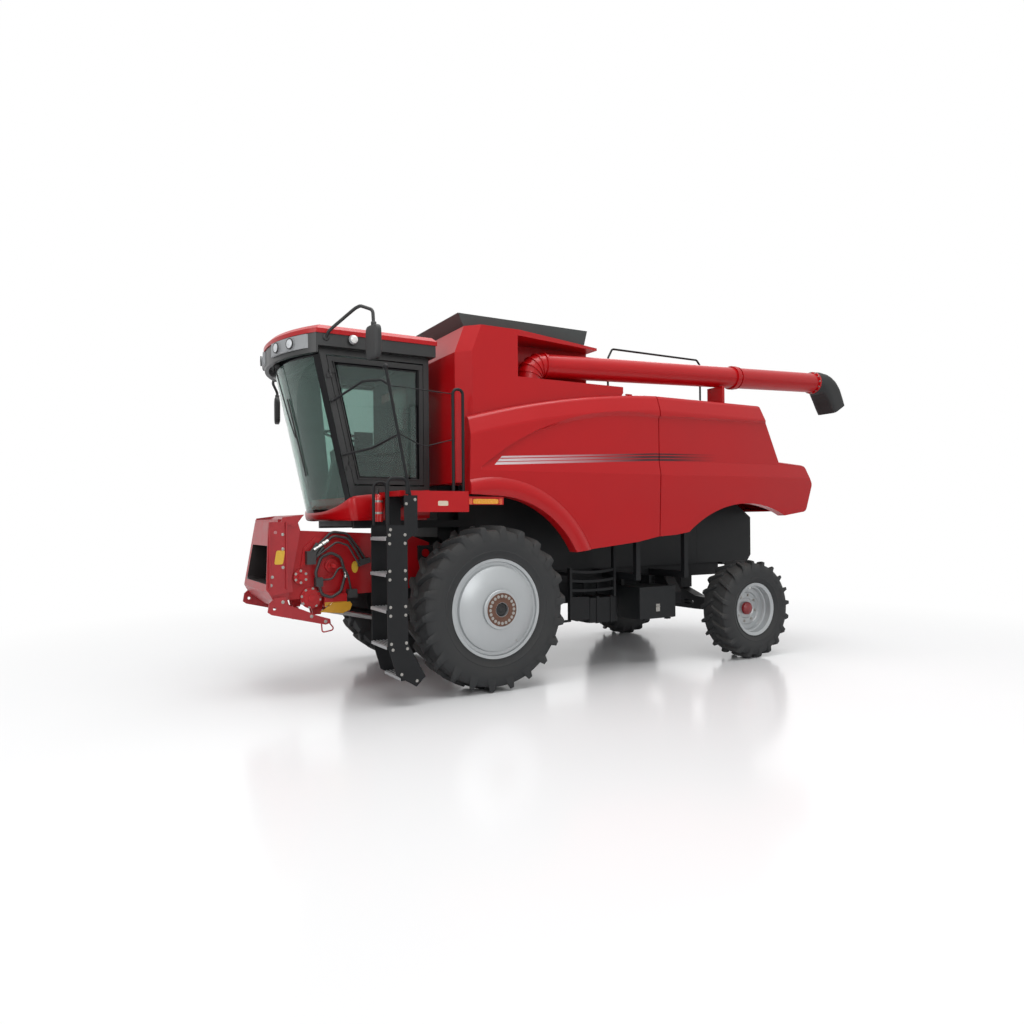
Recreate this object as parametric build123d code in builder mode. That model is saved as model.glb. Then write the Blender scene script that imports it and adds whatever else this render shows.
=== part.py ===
from build123d import *
import math
import os

os.makedirs("parts", exist_ok=True)

# Millimetres. X is across (positive on the ladder side), Y runs rearward, Z up.
# The ground is Z 0. Places along the machine are measured from the front axle.
front_axle_y = -1846.0
wheelbase = 3700.0
running_gap = 5.0
fit_gap = 0.3
bearing_gap = 0.4

# Wheels
front_tyre_radius = 845.0
front_rim_radius = 507.0
front_wheel_x = 1115.0
front_tyre_width = 460.0
front_rim_width = 410.0
front_lug_count = 22
rear_tyre_radius = 608.0
rear_rim_radius = 327.0
rear_wheel_x = 1200.0
rear_tyre_width = 375.0
rear_rim_width = 320.0
rear_lug_count = 20
rim_wall = 12.0
bead_drop = 25.0

# Axles
axle_beam_depth = 260.0
front_axle_z = front_tyre_radius
rear_axle_z = rear_tyre_radius
final_drive_inner_x = 660.0
final_drive_outer_x = 850.0
final_drive_radius = 205.0
front_stub_radius = 60.0
kingpin_x = 930.0
kingpin_radius = 30.0
knuckle_ear = 38.0
axle_boss_height = 160.0
steering_arm_length = 200.0
rear_stub_radius = 45.0

# Chassis
rail_x = 480.0
rail_width = 80.0
rail_height = 160.0
rail_bottom_z = 990.0
rail_front_y = -330.0
rail_rear_y = 3950.0
body_half_width = 560.0
upper_rail_x = 1120.0
upper_rail_size = 60.0
upper_rail_z = 3046.0

# Outer side panels
side_x = 1300.0
panel_thickness = 36.0
seam_y = 2220.0
seam_gap = 12.0
arch_radius = 1147.0
fender_lip = 185.0
fender_stand_out = 34.0
panel_top_z = 3180.0
flange_x = 1176.0
crown_radius = 60.0
cheek_radius = 100.0
crown_drop = 190.0
crown_inset = 62.0
waist_z = 2250.0
scallop_depth = 28.0
scallop_shelf = 165.0
scallop_bevel = 26.0
hinge_x = 1160.0
hinge_z = 3172.0
hinge_pin_radius = 7.0
hinge_knuckle_radius = 11.0
panel_hinge_places = (1870.0, 2140.0, 2400.0, 3780.0)

# Engine deck and hood
hood_thickness = 24.0
hood_top_z = 3130.0
louvre_pitch = 62.0
louvre_width = 26.0

# Grain tank
tank_half_width = 1165.0
tank_front_y = -310.0
tank_rear_y = 1560.0
tank_corner = 133.0
tank_floor_z = 2130.0
tank_shoulder_z = 3470.0
tank_top_z = 3750.0
tank_top_front_y = -200.0
tank_wall = 25.0
tank_mouth_half_width = 915.0
tank_mouth_front_y = -120.0
tank_mouth_rear_y = 1400.0
extension_height = 155.0
extension_wall = 14.0
extension_flare = 25.0
extension_front_flare = 95.0
auger_recess_x = 770.0
auger_recess_front_y = 370.0
auger_recess_floor_z = 3235.0
auger_recess_roof = 62.0
recess_lip_z = 3256.0
tank_shelf_rear_y = 1785.0

# Unloading auger
auger_x = 1005.0
auger_y = 605.0
elbow_radius = 168.0
elbow_rings = 4
elbow_ring_width = 15.0
elbow_ring_height = 11.0
auger_z = 3425.0
auger_radius = 131.0
auger_rise = 2.4
auger_length = 4695.0
auger_collar = 3085.0
auger_wall = 6.0

# Cab
cab_half_width = 740.0
cab_wall = 50.0
cab_floor_z = 1980.0
cab_sill = 70.0
cab_rear_y = -470.0
pillar_foot_y = -1330.0
pillar_head_y = -1650.0
cab_head_z = 3440.0
screen_thickness = 8.0
screen_bulge = 215.0
roof_half_width = 850.0
roof_bottom_z = 3560.0
roof_top_z = 3665.0
pod_low_z = 3418.0
pod_high_z = 3552.0
pod_stand_out = 26.0
pod_depth = 30.0
roof_corner_y = -1700.0
roof_front_y = -1975.0
roof_rear_y = -420.0
door_gap = 6.0
door_hinge_x = cab_half_width + 16
door_hinge_heights = (2300.0, 3200.0)
door_thickness = 40.0
door_sill_z = 2114.0
door_low_gap = 16.0
door_top_gap = 14.0
door_border = 45.0

# Platform and ladder
platform_z = 2030.0
platform_x = 1300.0
platform_front_y = -1040.0
platform_rear_y = -300.0
platform_beam_height = 205.0
ladder_inner_x = 985.0
ladder_outer_x = 1405.0
ladder_plate = 10.0
rail_tube = 15.0

# Tool box
box_x = 640.0
box_depth = 420.0
box_front_y = 2080.0
box_length = 560.0
box_low_z = 555.0
box_height = 380.0
box_hinge_x = box_x + box_depth + running_gap + 5
box_hinge_z = box_low_z - 8
box_hinge_places = (110.0, 450.0)

# Feeder house
feeder_half_width = 540.0
throat_half_width = 500.0
throat_low_z = 1130.0
throat_high_z = 1500.0
drum_y = -1690.0
drum_z = 1230.0
drum_radius = 90.0
slat_pitch = 190.0
slat_height = 38.0
hose_radius = 13.0
feeder_wall = 14.0
feeder_pivot_y = -450.0
feeder_pivot_z = 1400.0
feeder_pivot_radius = 45.0
frame_half_width = 590.0
header_drive_radius = 20.0
header_drive_length = 80.0
latch_hole_radius = 16.0
latch_hole_y = -2060.0
latch_hole_z = 905.0
lift_x = 400.0
lift_eye_y = -1600.0
lift_eye_z = 860.0
lift_foot_y = -190.0
lift_foot_z = 560.0
lift_barrel_radius = 48.0
lift_rod_radius = 26.0


def along(distance):
    return front_axle_y + distance


def side_plane(x):
    """Plane at a given X, with Y to its right and Z up."""
    return Plane(origin=(x, 0, 0), x_dir=(0, 1, 0), z_dir=(1, 0, 0))


def cross_plane(y):
    """Plane at a given Y, with X to its right and Z up."""
    return Plane(origin=(0, y, 0), x_dir=(1, 0, 0), z_dir=(0, -1, 0))


def save(piece, name):
    piece.label = name
    export_step(piece, "parts/" + name + ".step")


sides = (("left", 1), ("right", -1))
rear_axle_y = along(wheelbase)

# Tyres: a faceted carcass with one lug on each facet, left and right in turn
tyres = (
    # name, radius, width, rim radius, rim width, wheel x, axle y, axle z, lugs a side, lug height, lug width,
    # lug direction
    ("front", front_tyre_radius, front_tyre_width, front_rim_radius, front_rim_width, front_wheel_x,
     front_axle_y, front_axle_z, front_lug_count, 42.0, 46.0, 1),
    ("rear", rear_tyre_radius, rear_tyre_width, rear_rim_radius, rear_rim_width, rear_wheel_x,
     rear_axle_y, rear_axle_z, rear_lug_count, 34.0, 38.0, -1),
)
for (name, radius, width, rim_radius, rim_width, wheel_x, axle_y, axle_z, lugs, lug_height, lug_width,
     lug_direction) in tyres:
    bead_x = rim_width / 2 - 15
    facets = 2 * lugs
    half_step = math.pi / facets
    corner = 1 / math.cos(half_step)
    tread_radius = radius - lug_height
    bead_radius = rim_radius - bead_drop + fit_gap
    stations = (
        # place across the tyre, distance of the facets from the axle
        (-bead_x, rim_radius + 3),
        (-0.50 * width, 0.42 * bead_radius + 0.58 * tread_radius),
        (-0.42 * width, tread_radius - 12),
        (0.42 * width, tread_radius - 12),
        (0.50 * width, 0.42 * bead_radius + 0.58 * tread_radius),
        (bead_x, rim_radius + 3),
    )
    lug_run = 0.17 * radius
    lug_top = math.sqrt(radius ** 2 - (0.5 * lug_run + lug_width) ** 2)
    with BuildPart() as lug:
        with BuildSketch(Plane.XY.offset(tread_radius - 30)):
            with BuildLine():
                Polyline((-8, -0.5 * lug_width), (0.25 * width, -0.5 * lug_width + 0.45 * lug_run),
                         (0.47 * width, 0.5 * lug_run), (0.47 * width, 0.5 * lug_run + lug_width),
                         (0.22 * width, 0.5 * lug_width + 0.45 * lug_run), (-8, 0.5 * lug_width),
                         close=True)
            make_face()
        extrude(amount=lug_top - tread_radius + 30)
    with BuildPart() as tyre:
        for across, distance in stations:
            with BuildSketch(Plane.YZ.offset(across)):
                RegularPolygon(radius=distance * corner, side_count=facets)
        loft(ruled=True)
        with BuildSketch(Plane.YZ.offset(-width)):
            RegularPolygon(radius=bead_radius * corner, side_count=facets)
        extrude(amount=2 * width, mode=Mode.SUBTRACT)
        outer_lug = lug.part if lug_direction > 0 else lug.part.mirror(Plane.XZ)
        outer_lugs = [outer_lug.rotate(Axis.X, 360 / lugs * n) for n in range(lugs)]
        inner_lug = outer_lug.mirror(Plane.YZ).rotate(Axis.X, 180 / lugs)
        inner_lugs = [inner_lug.rotate(Axis.X, 360 / lugs * n) for n in range(lugs)]
        add(outer_lugs + inner_lugs)
    placed = tyre.part.translate((wheel_x, axle_y, axle_z))
    save(placed, "tyre_" + name + "_left")
    save(placed.mirror(Plane.YZ), "tyre_" + name + "_right")

# Rims: barrel, disc and hub in one turned piece each
front_flange_x = front_wheel_x + front_rim_width / 2
front_barrel = front_rim_radius - bead_drop
front_hub_radius = 187.0
front_hub_x = front_flange_x + 100
front_hub_inner_x = final_drive_outer_x + running_gap + 60
disc_wall = 14.0
disc_ring_radius = 430.0
with BuildPart() as front_rim:
    with BuildSketch(Plane.XY):
        with BuildLine():
            Polyline((front_hub_x - 16, front_hub_radius), (front_hub_x - 16, 100), (front_hub_inner_x, 100),
                     (front_hub_inner_x, front_stub_radius + bearing_gap),
                     (front_hub_x - 60, front_stub_radius + bearing_gap),
                     (front_hub_x - 60, 70), (front_hub_x, 70), (front_hub_x, front_hub_radius))
            ThreePointArc((front_hub_x, front_hub_radius), (front_hub_x - 14, front_hub_radius + 14),
                          (front_hub_x - 26, front_hub_radius + 6))
            ThreePointArc((front_hub_x - 26, front_hub_radius + 6), (front_flange_x + 54, 320),
                          (front_flange_x + 6, disc_ring_radius))
            Polyline((front_flange_x + 6, disc_ring_radius), (front_flange_x - 22, disc_ring_radius + 10),
                     (front_flange_x - 22, front_barrel - rim_wall), (front_flange_x - 4, front_barrel - 4),
                     (front_flange_x, front_rim_radius), (front_flange_x - 14, front_rim_radius),
                     (front_flange_x - 14, front_barrel), (front_flange_x - front_rim_width + 14, front_barrel),
                     (front_flange_x - front_rim_width, front_rim_radius - 8),
                     (front_flange_x - front_rim_width, front_barrel - rim_wall),
                     (front_flange_x - 40, front_barrel - rim_wall),
                     (front_flange_x - 40, disc_ring_radius - 6))
            ThreePointArc((front_flange_x - 40, disc_ring_radius - 6), (front_flange_x + 54 - disc_wall, 312),
                          (front_hub_x - 26 - disc_wall, front_hub_radius))
            Line((front_hub_x - 26 - disc_wall, front_hub_radius), (front_hub_x - 16, front_hub_radius))
        make_face()
    revolve(axis=Axis.X)
rear_flange_x = rear_wheel_x + rear_rim_width / 2
rear_barrel = rear_rim_radius - bead_drop
rear_disc_x = rear_flange_x - 150
rear_cap_radius = 72.0
with BuildPart() as rear_rim:
    with BuildSketch(Plane.XY):
        with BuildLine():
            Polyline((rear_flange_x, rear_rim_radius), (rear_flange_x - 12, rear_rim_radius),
                     (rear_flange_x - 12, rear_barrel), (rear_flange_x - rear_rim_width, rear_barrel),
                     (rear_flange_x - rear_rim_width, rear_barrel - rim_wall),
                     (rear_disc_x - 10, rear_barrel - rim_wall), (rear_disc_x - 26, 105),
                     (rear_disc_x - 90, 105), (rear_disc_x - 90, rear_stub_radius + bearing_gap),
                     (rear_disc_x + 6, rear_stub_radius + bearing_gap), (rear_disc_x + 6, 0),
                     (rear_disc_x + 62, 0))
            ThreePointArc((rear_disc_x + 62, 0), (rear_disc_x + 54, 0.62 * rear_cap_radius),
                          (rear_disc_x + 30, rear_cap_radius))
            Polyline((rear_disc_x + 30, rear_cap_radius), (rear_disc_x - 10, rear_cap_radius + 2),
                     (rear_disc_x - 10, 120), (rear_disc_x + 2, 132), (rear_disc_x + 2, 196),
                     (rear_disc_x + 22, 208), (rear_disc_x + 26, rear_barrel - rim_wall - 34),
                     (rear_disc_x + 58, rear_barrel - rim_wall - 22),
                     (rear_disc_x + 64, rear_barrel - rim_wall - 6),
                     (rear_flange_x - 16, rear_barrel - rim_wall), (rear_flange_x, rear_rim_radius))
        make_face()
    revolve(axis=Axis.X)
for name, rim, axle_y, axle_z in (("front", front_rim, front_axle_y, front_axle_z),
                                  ("rear", rear_rim, rear_axle_y, rear_axle_z)):
    placed = rim.part.translate((0, axle_y, axle_z))
    save(placed, "rim_" + name + "_left")
    save(placed.mirror(Plane.YZ), "rim_" + name + "_right")

# Chassis: two rails with cross members, panel rails above them and the panel posts
rail_length = rail_rear_y - rail_front_y
rail_top_z = rail_bottom_z + rail_height
post_half_x = upper_rail_x
with BuildPart() as main_frame:
    with Locations(*[(sx * rail_x, along((rail_front_y + rail_rear_y) / 2), rail_bottom_z + rail_height / 2)
                     for _, sx in sides]):
        Box(rail_width, rail_length, rail_height)
    with Locations((0, along(rail_front_y + 60), rail_bottom_z + 40)):
        Box(2 * feeder_half_width + 40, 90, 80)
    for cross_y in (700, 3300, wheelbase):
        with Locations((0, along(cross_y), rail_bottom_z + rail_height / 2)):
            Box(2 * rail_x, 90, rail_height - 40)
    for outrigger_y in (2000, 2750):
        with Locations(*[(sx * (rail_x + upper_rail_x) / 2, along(outrigger_y), rail_bottom_z + rail_height / 2)
                         for _, sx in sides]):
            Box(upper_rail_x - rail_x + 60, 70, 80)
        for _, sx in sides:
            with Locations((sx * upper_rail_x, along(outrigger_y), (rail_bottom_z + upper_rail_z) / 2 + 40)):
                Box(60, 60, upper_rail_z - rail_bottom_z - 40)
    for _, sx in sides:
        with Locations((sx * upper_rail_x, along((tank_rear_y + 3930) / 2 + 20), upper_rail_z + upper_rail_size / 2)):
            Box(upper_rail_size, 3930 - tank_rear_y - 100, upper_rail_size)
        with BuildSketch(side_plane(sx * (feeder_half_width + running_gap) - (0 if sx > 0 else 40))):
            with BuildLine():
                Polyline((along(rail_front_y), rail_bottom_z), (along(feeder_pivot_y - 80), feeder_pivot_z - 70),
                         (along(feeder_pivot_y - 80), feeder_pivot_z + 80),
                         (along(feeder_pivot_y + 90), feeder_pivot_z + 80),
                         (along(rail_front_y + 120), rail_bottom_z), close=True)
            make_face()
            with Locations((along(feeder_pivot_y), feeder_pivot_z)):
                Circle(feeder_pivot_radius + bearing_gap, mode=Mode.SUBTRACT)
        extrude(amount=40)
    with Locations((0, rear_axle_y, rail_bottom_z - 80)):
        Box(360, 200, 220)
save(main_frame.part, "main_frame")

# Threshing body: the closed sheet body between the rails and the panels
body_profile = (
    # distance behind the front axle, height
    (-240, 2130), (-240, 1560), (180, 1300), (180, 1155), (980, 1155), (980, 800), (1200, 730), (2900, 730),
    (3060, 860), (3060, 1155), (3520, 1155), (3520, 2130),
)
with BuildPart() as threshing_body:
    with BuildSketch(side_plane(-(rail_x - rail_width / 2 - 1))):
        with BuildLine():
            Polyline(*[(along(y), z) for y, z in body_profile], close=True)
        make_face()
    extrude(amount=2 * (rail_x - rail_width / 2 - 1))
    with BuildSketch(side_plane(-body_half_width)):
        with Locations((along(1740), (rail_top_z + 2130) / 2)):
            Rectangle(3560, 2130 - rail_top_z)
    extrude(amount=2 * body_half_width)
save(threshing_body.part, "threshing_body")

# Straw hood behind the threshing body, open at its rear and below
hood_wall = 20.0
with BuildPart() as straw_hood:
    with BuildSketch(side_plane(-body_half_width)):
        with BuildLine():
            Polyline((along(3522), rail_top_z + 5), (along(3522), 2130), (along(4240), 1960),
                     (along(4540), 1760), (along(4540), 1240), (along(4440), 1120), (along(3990), 1120),
                     (along(3990), rail_top_z + 5), close=True)
        make_face()
    extrude(amount=2 * body_half_width)
    with BuildSketch(side_plane(-body_half_width + hood_wall)):
        with BuildLine():
            Polyline((along(3560), rail_top_z + 40), (along(3560), 2085), (along(4235), 1925),
                     (along(4480), 1755), (along(4700), 1755), (along(4700), 1000), (along(4040), 1000),
                     (along(4040), rail_top_z + 40), close=True)
        make_face()
    extrude(amount=2 * (body_half_width - hood_wall), mode=Mode.SUBTRACT)
save(straw_hood.part, "straw_hood")

# Front axle: beam, final drives and the stubs that carry the wheels
with BuildPart() as front_axle:
    with Locations((0, front_axle_y, (rail_bottom_z + 700) / 2)):
        Box(2 * final_drive_inner_x + 40, axle_beam_depth, rail_bottom_z - 700)
    for _, sx in sides:
        for drive_x, drive_length, drive_radius in (
                # inner end, length, radius
                (final_drive_inner_x, 60.0, 150.0),
                (final_drive_inner_x + 60, 90.0, final_drive_radius),
                (final_drive_inner_x + 70, 22.0, final_drive_radius + 22),
                (final_drive_inner_x + 150, final_drive_outer_x - final_drive_inner_x - 150, 120.0)):
            with BuildSketch(side_plane(sx * drive_x)):
                with Locations((front_axle_y, front_axle_z)):
                    Circle(drive_radius)
            extrude(amount=sx * drive_length)
        with Locations((sx * (final_drive_inner_x + 10), front_axle_y, rail_bottom_z - 30)):
            Box(180, 220, 60)
        with BuildSketch(side_plane(sx * final_drive_outer_x)):
            with Locations((front_axle_y, front_axle_z)):
                Circle(front_stub_radius)
        extrude(amount=sx * (front_hub_x - 60 - running_gap - final_drive_outer_x))
        for lug_x in (lift_x - 58, lift_x + 38):
            with BuildSketch(side_plane(sx * lug_x - (0 if sx > 0 else 20))):
                with BuildLine():
                    Polyline((along(-130), 760), (along(lift_foot_y - 45), lift_foot_z + 20),
                             (along(lift_foot_y - 45), lift_foot_z - 50), (along(lift_foot_y + 45), lift_foot_z - 50),
                             (along(100), 700), (along(100), 760), close=True)
                make_face()
            extrude(amount=20)
        with BuildSketch(side_plane(sx * (lift_x + 50) - (0 if sx > 0 else 0))):
            with Locations((along(lift_foot_y), lift_foot_z)):
                Circle(22)
        extrude(amount=-sx * 100)
save(front_axle.part, "front_axle")

# Rear axle: beam on its centre pivot, with a boss for each kingpin
boss_low_z = rear_axle_z - axle_boss_height / 2
boss_high_z = rear_axle_z + axle_boss_height / 2
with BuildPart() as rear_axle:
    with BuildSketch(cross_plane(rear_axle_y - 80)):
        with BuildLine():
            Polyline((-kingpin_x + 70, rear_axle_z - 70), (-420, rear_axle_z - 82), (420, rear_axle_z - 82),
                     (kingpin_x - 70, rear_axle_z - 70), (kingpin_x - 70, rear_axle_z + 70),
                     (420, rear_axle_z + 96), (150, rail_bottom_z - 190), (-150, rail_bottom_z - 190),
                     (-420, rear_axle_z + 96), (-kingpin_x + 70, rear_axle_z + 70), close=True)
        make_face()
        with Locations((-300, rear_axle_z + 5), (300, rear_axle_z + 5)):
            SlotOverall(170, 60, mode=Mode.SUBTRACT)
    extrude(amount=-160)
    for _, sx in sides:
        with BuildSketch(Plane.XY.offset(boss_low_z)):
            with Locations((sx * kingpin_x, rear_axle_y)):
                Circle(62)
            with Locations((sx * (kingpin_x - 75), rear_axle_y)):
                Rectangle(110, 100)
        extrude(amount=axle_boss_height)
        with BuildSketch(Plane.XY.offset(boss_low_z - 5)):
            with Locations((sx * kingpin_x, rear_axle_y)):
                Circle(kingpin_radius + bearing_gap)
        extrude(amount=axle_boss_height + 10, mode=Mode.SUBTRACT)
save(rear_axle.part, "rear_axle")

# Knuckles: ears round the boss, kingpin, wheel stub and a steering arm
web_x = kingpin_x + 62 + running_gap
for name, sx in sides:
    with BuildPart() as knuckle:
        for ear_z in (boss_low_z - running_gap - knuckle_ear, boss_high_z + running_gap):
            with BuildSketch(Plane.XY.offset(ear_z)):
                with Locations((sx * kingpin_x, rear_axle_y)):
                    Circle(58)
                with Locations((sx * (kingpin_x + web_x + 30) / 2, rear_axle_y)):
                    Rectangle(web_x + 30 - kingpin_x, 116)
            extrude(amount=knuckle_ear)
        with Locations((sx * (web_x + 15), rear_axle_y, rear_axle_z)):
            Box(30, 116, axle_boss_height + 2 * running_gap + 2 * knuckle_ear)
        with BuildSketch(Plane.XY.offset(boss_low_z - 20)):
            with Locations((sx * kingpin_x, rear_axle_y)):
                Circle(kingpin_radius)
        extrude(amount=axle_boss_height + 40)
        with BuildSketch(side_plane(sx * web_x)):
            with Locations((rear_axle_y, rear_axle_z)):
                Circle(rear_stub_radius)
        extrude(amount=sx * (rear_disc_x + 1 - web_x))
        with Locations((sx * kingpin_x, rear_axle_y + steering_arm_length / 2 + 15,
                        boss_low_z - running_gap - knuckle_ear / 2)):
            Box(56, steering_arm_length + 20, knuckle_ear)
        if sx > 0:
            with BuildSketch(Plane.XY.offset(boss_low_z - running_gap - 1)):
                with Locations((sx * kingpin_x, rear_axle_y + steering_arm_length)):
                    Circle(12)
            extrude(amount=30)
    save(knuckle.part, "knuckle_" + name)

# Tie rod on top of the steering arms, open at the right ball joint
tie_z = boss_low_z - running_gap + 2
with BuildPart() as tie_rod:
    with BuildSketch(side_plane(-(kingpin_x - 60))):
        with Locations((rear_axle_y + steering_arm_length, tie_z + 16)):
            Circle(16)
    extrude(amount=2 * (kingpin_x - 60))
    for _, sx in sides:
        with BuildSketch(Plane.XY.offset(tie_z)):
            with Locations((sx * kingpin_x, rear_axle_y + steering_arm_length)):
                Circle(26)
            with Locations((sx * (kingpin_x - 40), rear_axle_y + steering_arm_length)):
                Rectangle(60, 36)
        extrude(amount=32)
        with BuildSketch(Plane.XY.offset(tie_z - 2)):
            with Locations((sx * kingpin_x, rear_axle_y + steering_arm_length)):
                Circle(12 + bearing_gap)
        extrude(amount=40, mode=Mode.SUBTRACT)
save(tie_rod.part, "tie_rod")

# Grain tank: open hopper with sloped floor and cut front corners, with a pocket for the auger at its left rear
def tank_points(half_width, corner, front_y, rear_y):
    return ((-half_width, along(rear_y)), (-half_width, along(front_y + corner)),
            (-half_width + corner, along(front_y)), (half_width - corner, along(front_y)),
            (half_width, along(front_y + corner)), (half_width, along(rear_y)))


def pocket_points(grow):
    """Plan of the auger pocket, open to the side and the rear."""
    return ((auger_recess_x - grow, along(auger_recess_front_y - grow)),
            (tank_half_width + 100, along(auger_recess_front_y - grow)),
            (tank_half_width + 100, along(tank_rear_y + 100)), (auger_recess_x - grow, along(tank_rear_y + 100)))


roof_low_z = tank_top_z - auger_recess_roof
with BuildPart() as tank_inside:
    with BuildSketch(Plane.XY.offset(tank_floor_z + 40)):
        with Locations((0, along(600))):
            Rectangle(700, 600)
    with BuildSketch(Plane.XY.offset(tank_floor_z + 620)):
        with Locations((0, along((tank_front_y + tank_rear_y) / 2 + 60))):
            Rectangle(2 * (tank_half_width - tank_wall - 60), tank_rear_y - tank_front_y - 2 * tank_wall - 120)
    loft(ruled=True)
    with BuildSketch(Plane.XY.offset(tank_floor_z + 620)):
        with BuildLine():
            Polyline(*tank_points(tank_half_width - tank_wall, tank_corner, tank_front_y + tank_wall,
                                  tank_rear_y - tank_wall), close=True)
        make_face()
    extrude(amount=tank_shoulder_z - tank_floor_z - 620)
    for inner_z, inner_front_y in ((tank_shoulder_z, tank_front_y + tank_wall),
                                   (tank_top_z - tank_wall, tank_top_front_y + tank_wall)):
        with BuildSketch(Plane.XY.offset(inner_z)):
            with BuildLine():
                Polyline(*tank_points(tank_half_width - tank_wall, tank_corner, inner_front_y,
                                      tank_rear_y - tank_wall), close=True)
            make_face()
    loft(ruled=True)
    with BuildSketch(Plane.XY.offset(auger_recess_floor_z - tank_wall)):
        with BuildLine():
            Polyline(*pocket_points(tank_wall), close=True)
        make_face()
    extrude(amount=tank_top_z - auger_recess_floor_z + 2 * tank_wall, mode=Mode.SUBTRACT)
    with BuildSketch(Plane.XY.offset(tank_top_z - tank_wall)):
        with Locations((0, along((tank_mouth_front_y + tank_mouth_rear_y) / 2))):
            Rectangle(2 * tank_mouth_half_width, tank_mouth_rear_y - tank_mouth_front_y)
        with Locations((tank_half_width, along((auger_recess_front_y + tank_rear_y) / 2))):
            Rectangle(2 * (tank_half_width - auger_recess_x + tank_wall),
                      tank_rear_y - auger_recess_front_y + 2 * tank_wall, mode=Mode.SUBTRACT)
    extrude(amount=tank_wall + 1)
with BuildPart() as grain_tank:
    with BuildSketch(Plane.XY.offset(tank_floor_z)):
        with BuildLine():
            Polyline(*tank_points(tank_half_width, tank_corner, tank_front_y, tank_rear_y), close=True)
        make_face()
    extrude(amount=tank_shoulder_z - tank_floor_z)
    for outer_z, outer_front_y in ((tank_shoulder_z, tank_front_y), (tank_top_z, tank_top_front_y)):
        with BuildSketch(Plane.XY.offset(outer_z)):
            with BuildLine():
                Polyline(*tank_points(tank_half_width, tank_corner, outer_front_y, tank_rear_y), close=True)
            make_face()
    loft(ruled=True)
    with BuildSketch(Plane.XY.offset(auger_recess_floor_z)):
        with BuildLine():
            Polyline(*pocket_points(0), close=True)
        make_face()
    extrude(amount=roof_low_z - auger_recess_floor_z, mode=Mode.SUBTRACT)
    with BuildSketch(Plane.XY.offset(roof_low_z - 1)):
        with BuildLine():
            Polyline((tank_half_width + 1, along(auger_recess_front_y + 20)),
                     (tank_half_width + 1, along(tank_rear_y + 1)),
                     (tank_half_width - 190, along(tank_rear_y + 1)), close=True)
        make_face()
    extrude(amount=auger_recess_roof + 2, mode=Mode.SUBTRACT)
    with BuildSketch(side_plane(auger_recess_x)):
        with BuildLine():
            Polyline((along(auger_recess_front_y), tank_top_z + 1), (along(tank_rear_y + 1), tank_top_z + 1),
                     (along(tank_rear_y + 1), tank_top_z - 34), close=True)
        make_face()
    extrude(amount=500, mode=Mode.SUBTRACT)
    add(tank_inside.part, mode=Mode.SUBTRACT)
    with BuildSketch(side_plane(tank_half_width - tank_wall)):
        with BuildLine():
            Polyline((along(auger_recess_front_y - 1), auger_recess_floor_z - 60),
                     (along(auger_recess_front_y - 1), recess_lip_z), (along(tank_shelf_rear_y), recess_lip_z),
                     (along(tank_shelf_rear_y), hood_top_z + 58), (along(tank_shelf_rear_y - 40), hood_top_z),
                     (along(tank_rear_y - 1), hood_top_z), (along(tank_rear_y - 1), auger_recess_floor_z - 60),
                     close=True)
        make_face()
    extrude(amount=tank_wall)
    with Locations(((auger_recess_x + tank_half_width) / 2, along((tank_rear_y + tank_shelf_rear_y - 40) / 2 - 1),
                    auger_recess_floor_z - tank_wall / 2)):
        Box(tank_half_width - auger_recess_x, tank_shelf_rear_y - 40 - tank_rear_y + 2, tank_wall)
save(grain_tank.part, "grain_tank")

# Tank extension: a flared sheet ring round the open top
with BuildPart() as tank_extension:
    for extra, mode in ((0, Mode.ADD), (extension_wall, Mode.SUBTRACT)):
        for ring_z, flare, front_flare in ((tank_top_z, 0, 0),
                                           (tank_top_z + extension_height, extension_flare, extension_front_flare)):
            with BuildSketch(Plane.XY.offset(ring_z)):
                with Locations((0, along((tank_mouth_front_y + tank_mouth_rear_y - front_flare + flare) / 2))):
                    Rectangle(2 * (tank_mouth_half_width + extension_wall + flare - extra),
                              tank_mouth_rear_y - tank_mouth_front_y + front_flare + flare
                              + 2 * (extension_wall - extra))
        loft(ruled=True, mode=mode)
save(tank_extension.part, "tank_extension")

# Cross augers on the tank floor
with BuildPart() as tank_augers:
    for auger_row_y in (420, 780):
        with BuildSketch(side_plane(-330)):
            with Locations((along(auger_row_y), tank_floor_z + 150)):
                Circle(100)
        extrude(amount=660)
        with BuildSketch(Plane.XY.offset(tank_floor_z + 40)):
            with Locations((-200, along(auger_row_y)), (200, along(auger_row_y))):
                Rectangle(30, 60)
        extrude(amount=60)
save(tank_augers.part, "tank_augers")

# Engine, one plain block on bearers
with BuildPart() as engine_block:
    with Locations((-60, along(2950), 2130 + 440)):
        Box(1050, 1150, 880)
save(engine_block.part, "engine_block")

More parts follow.
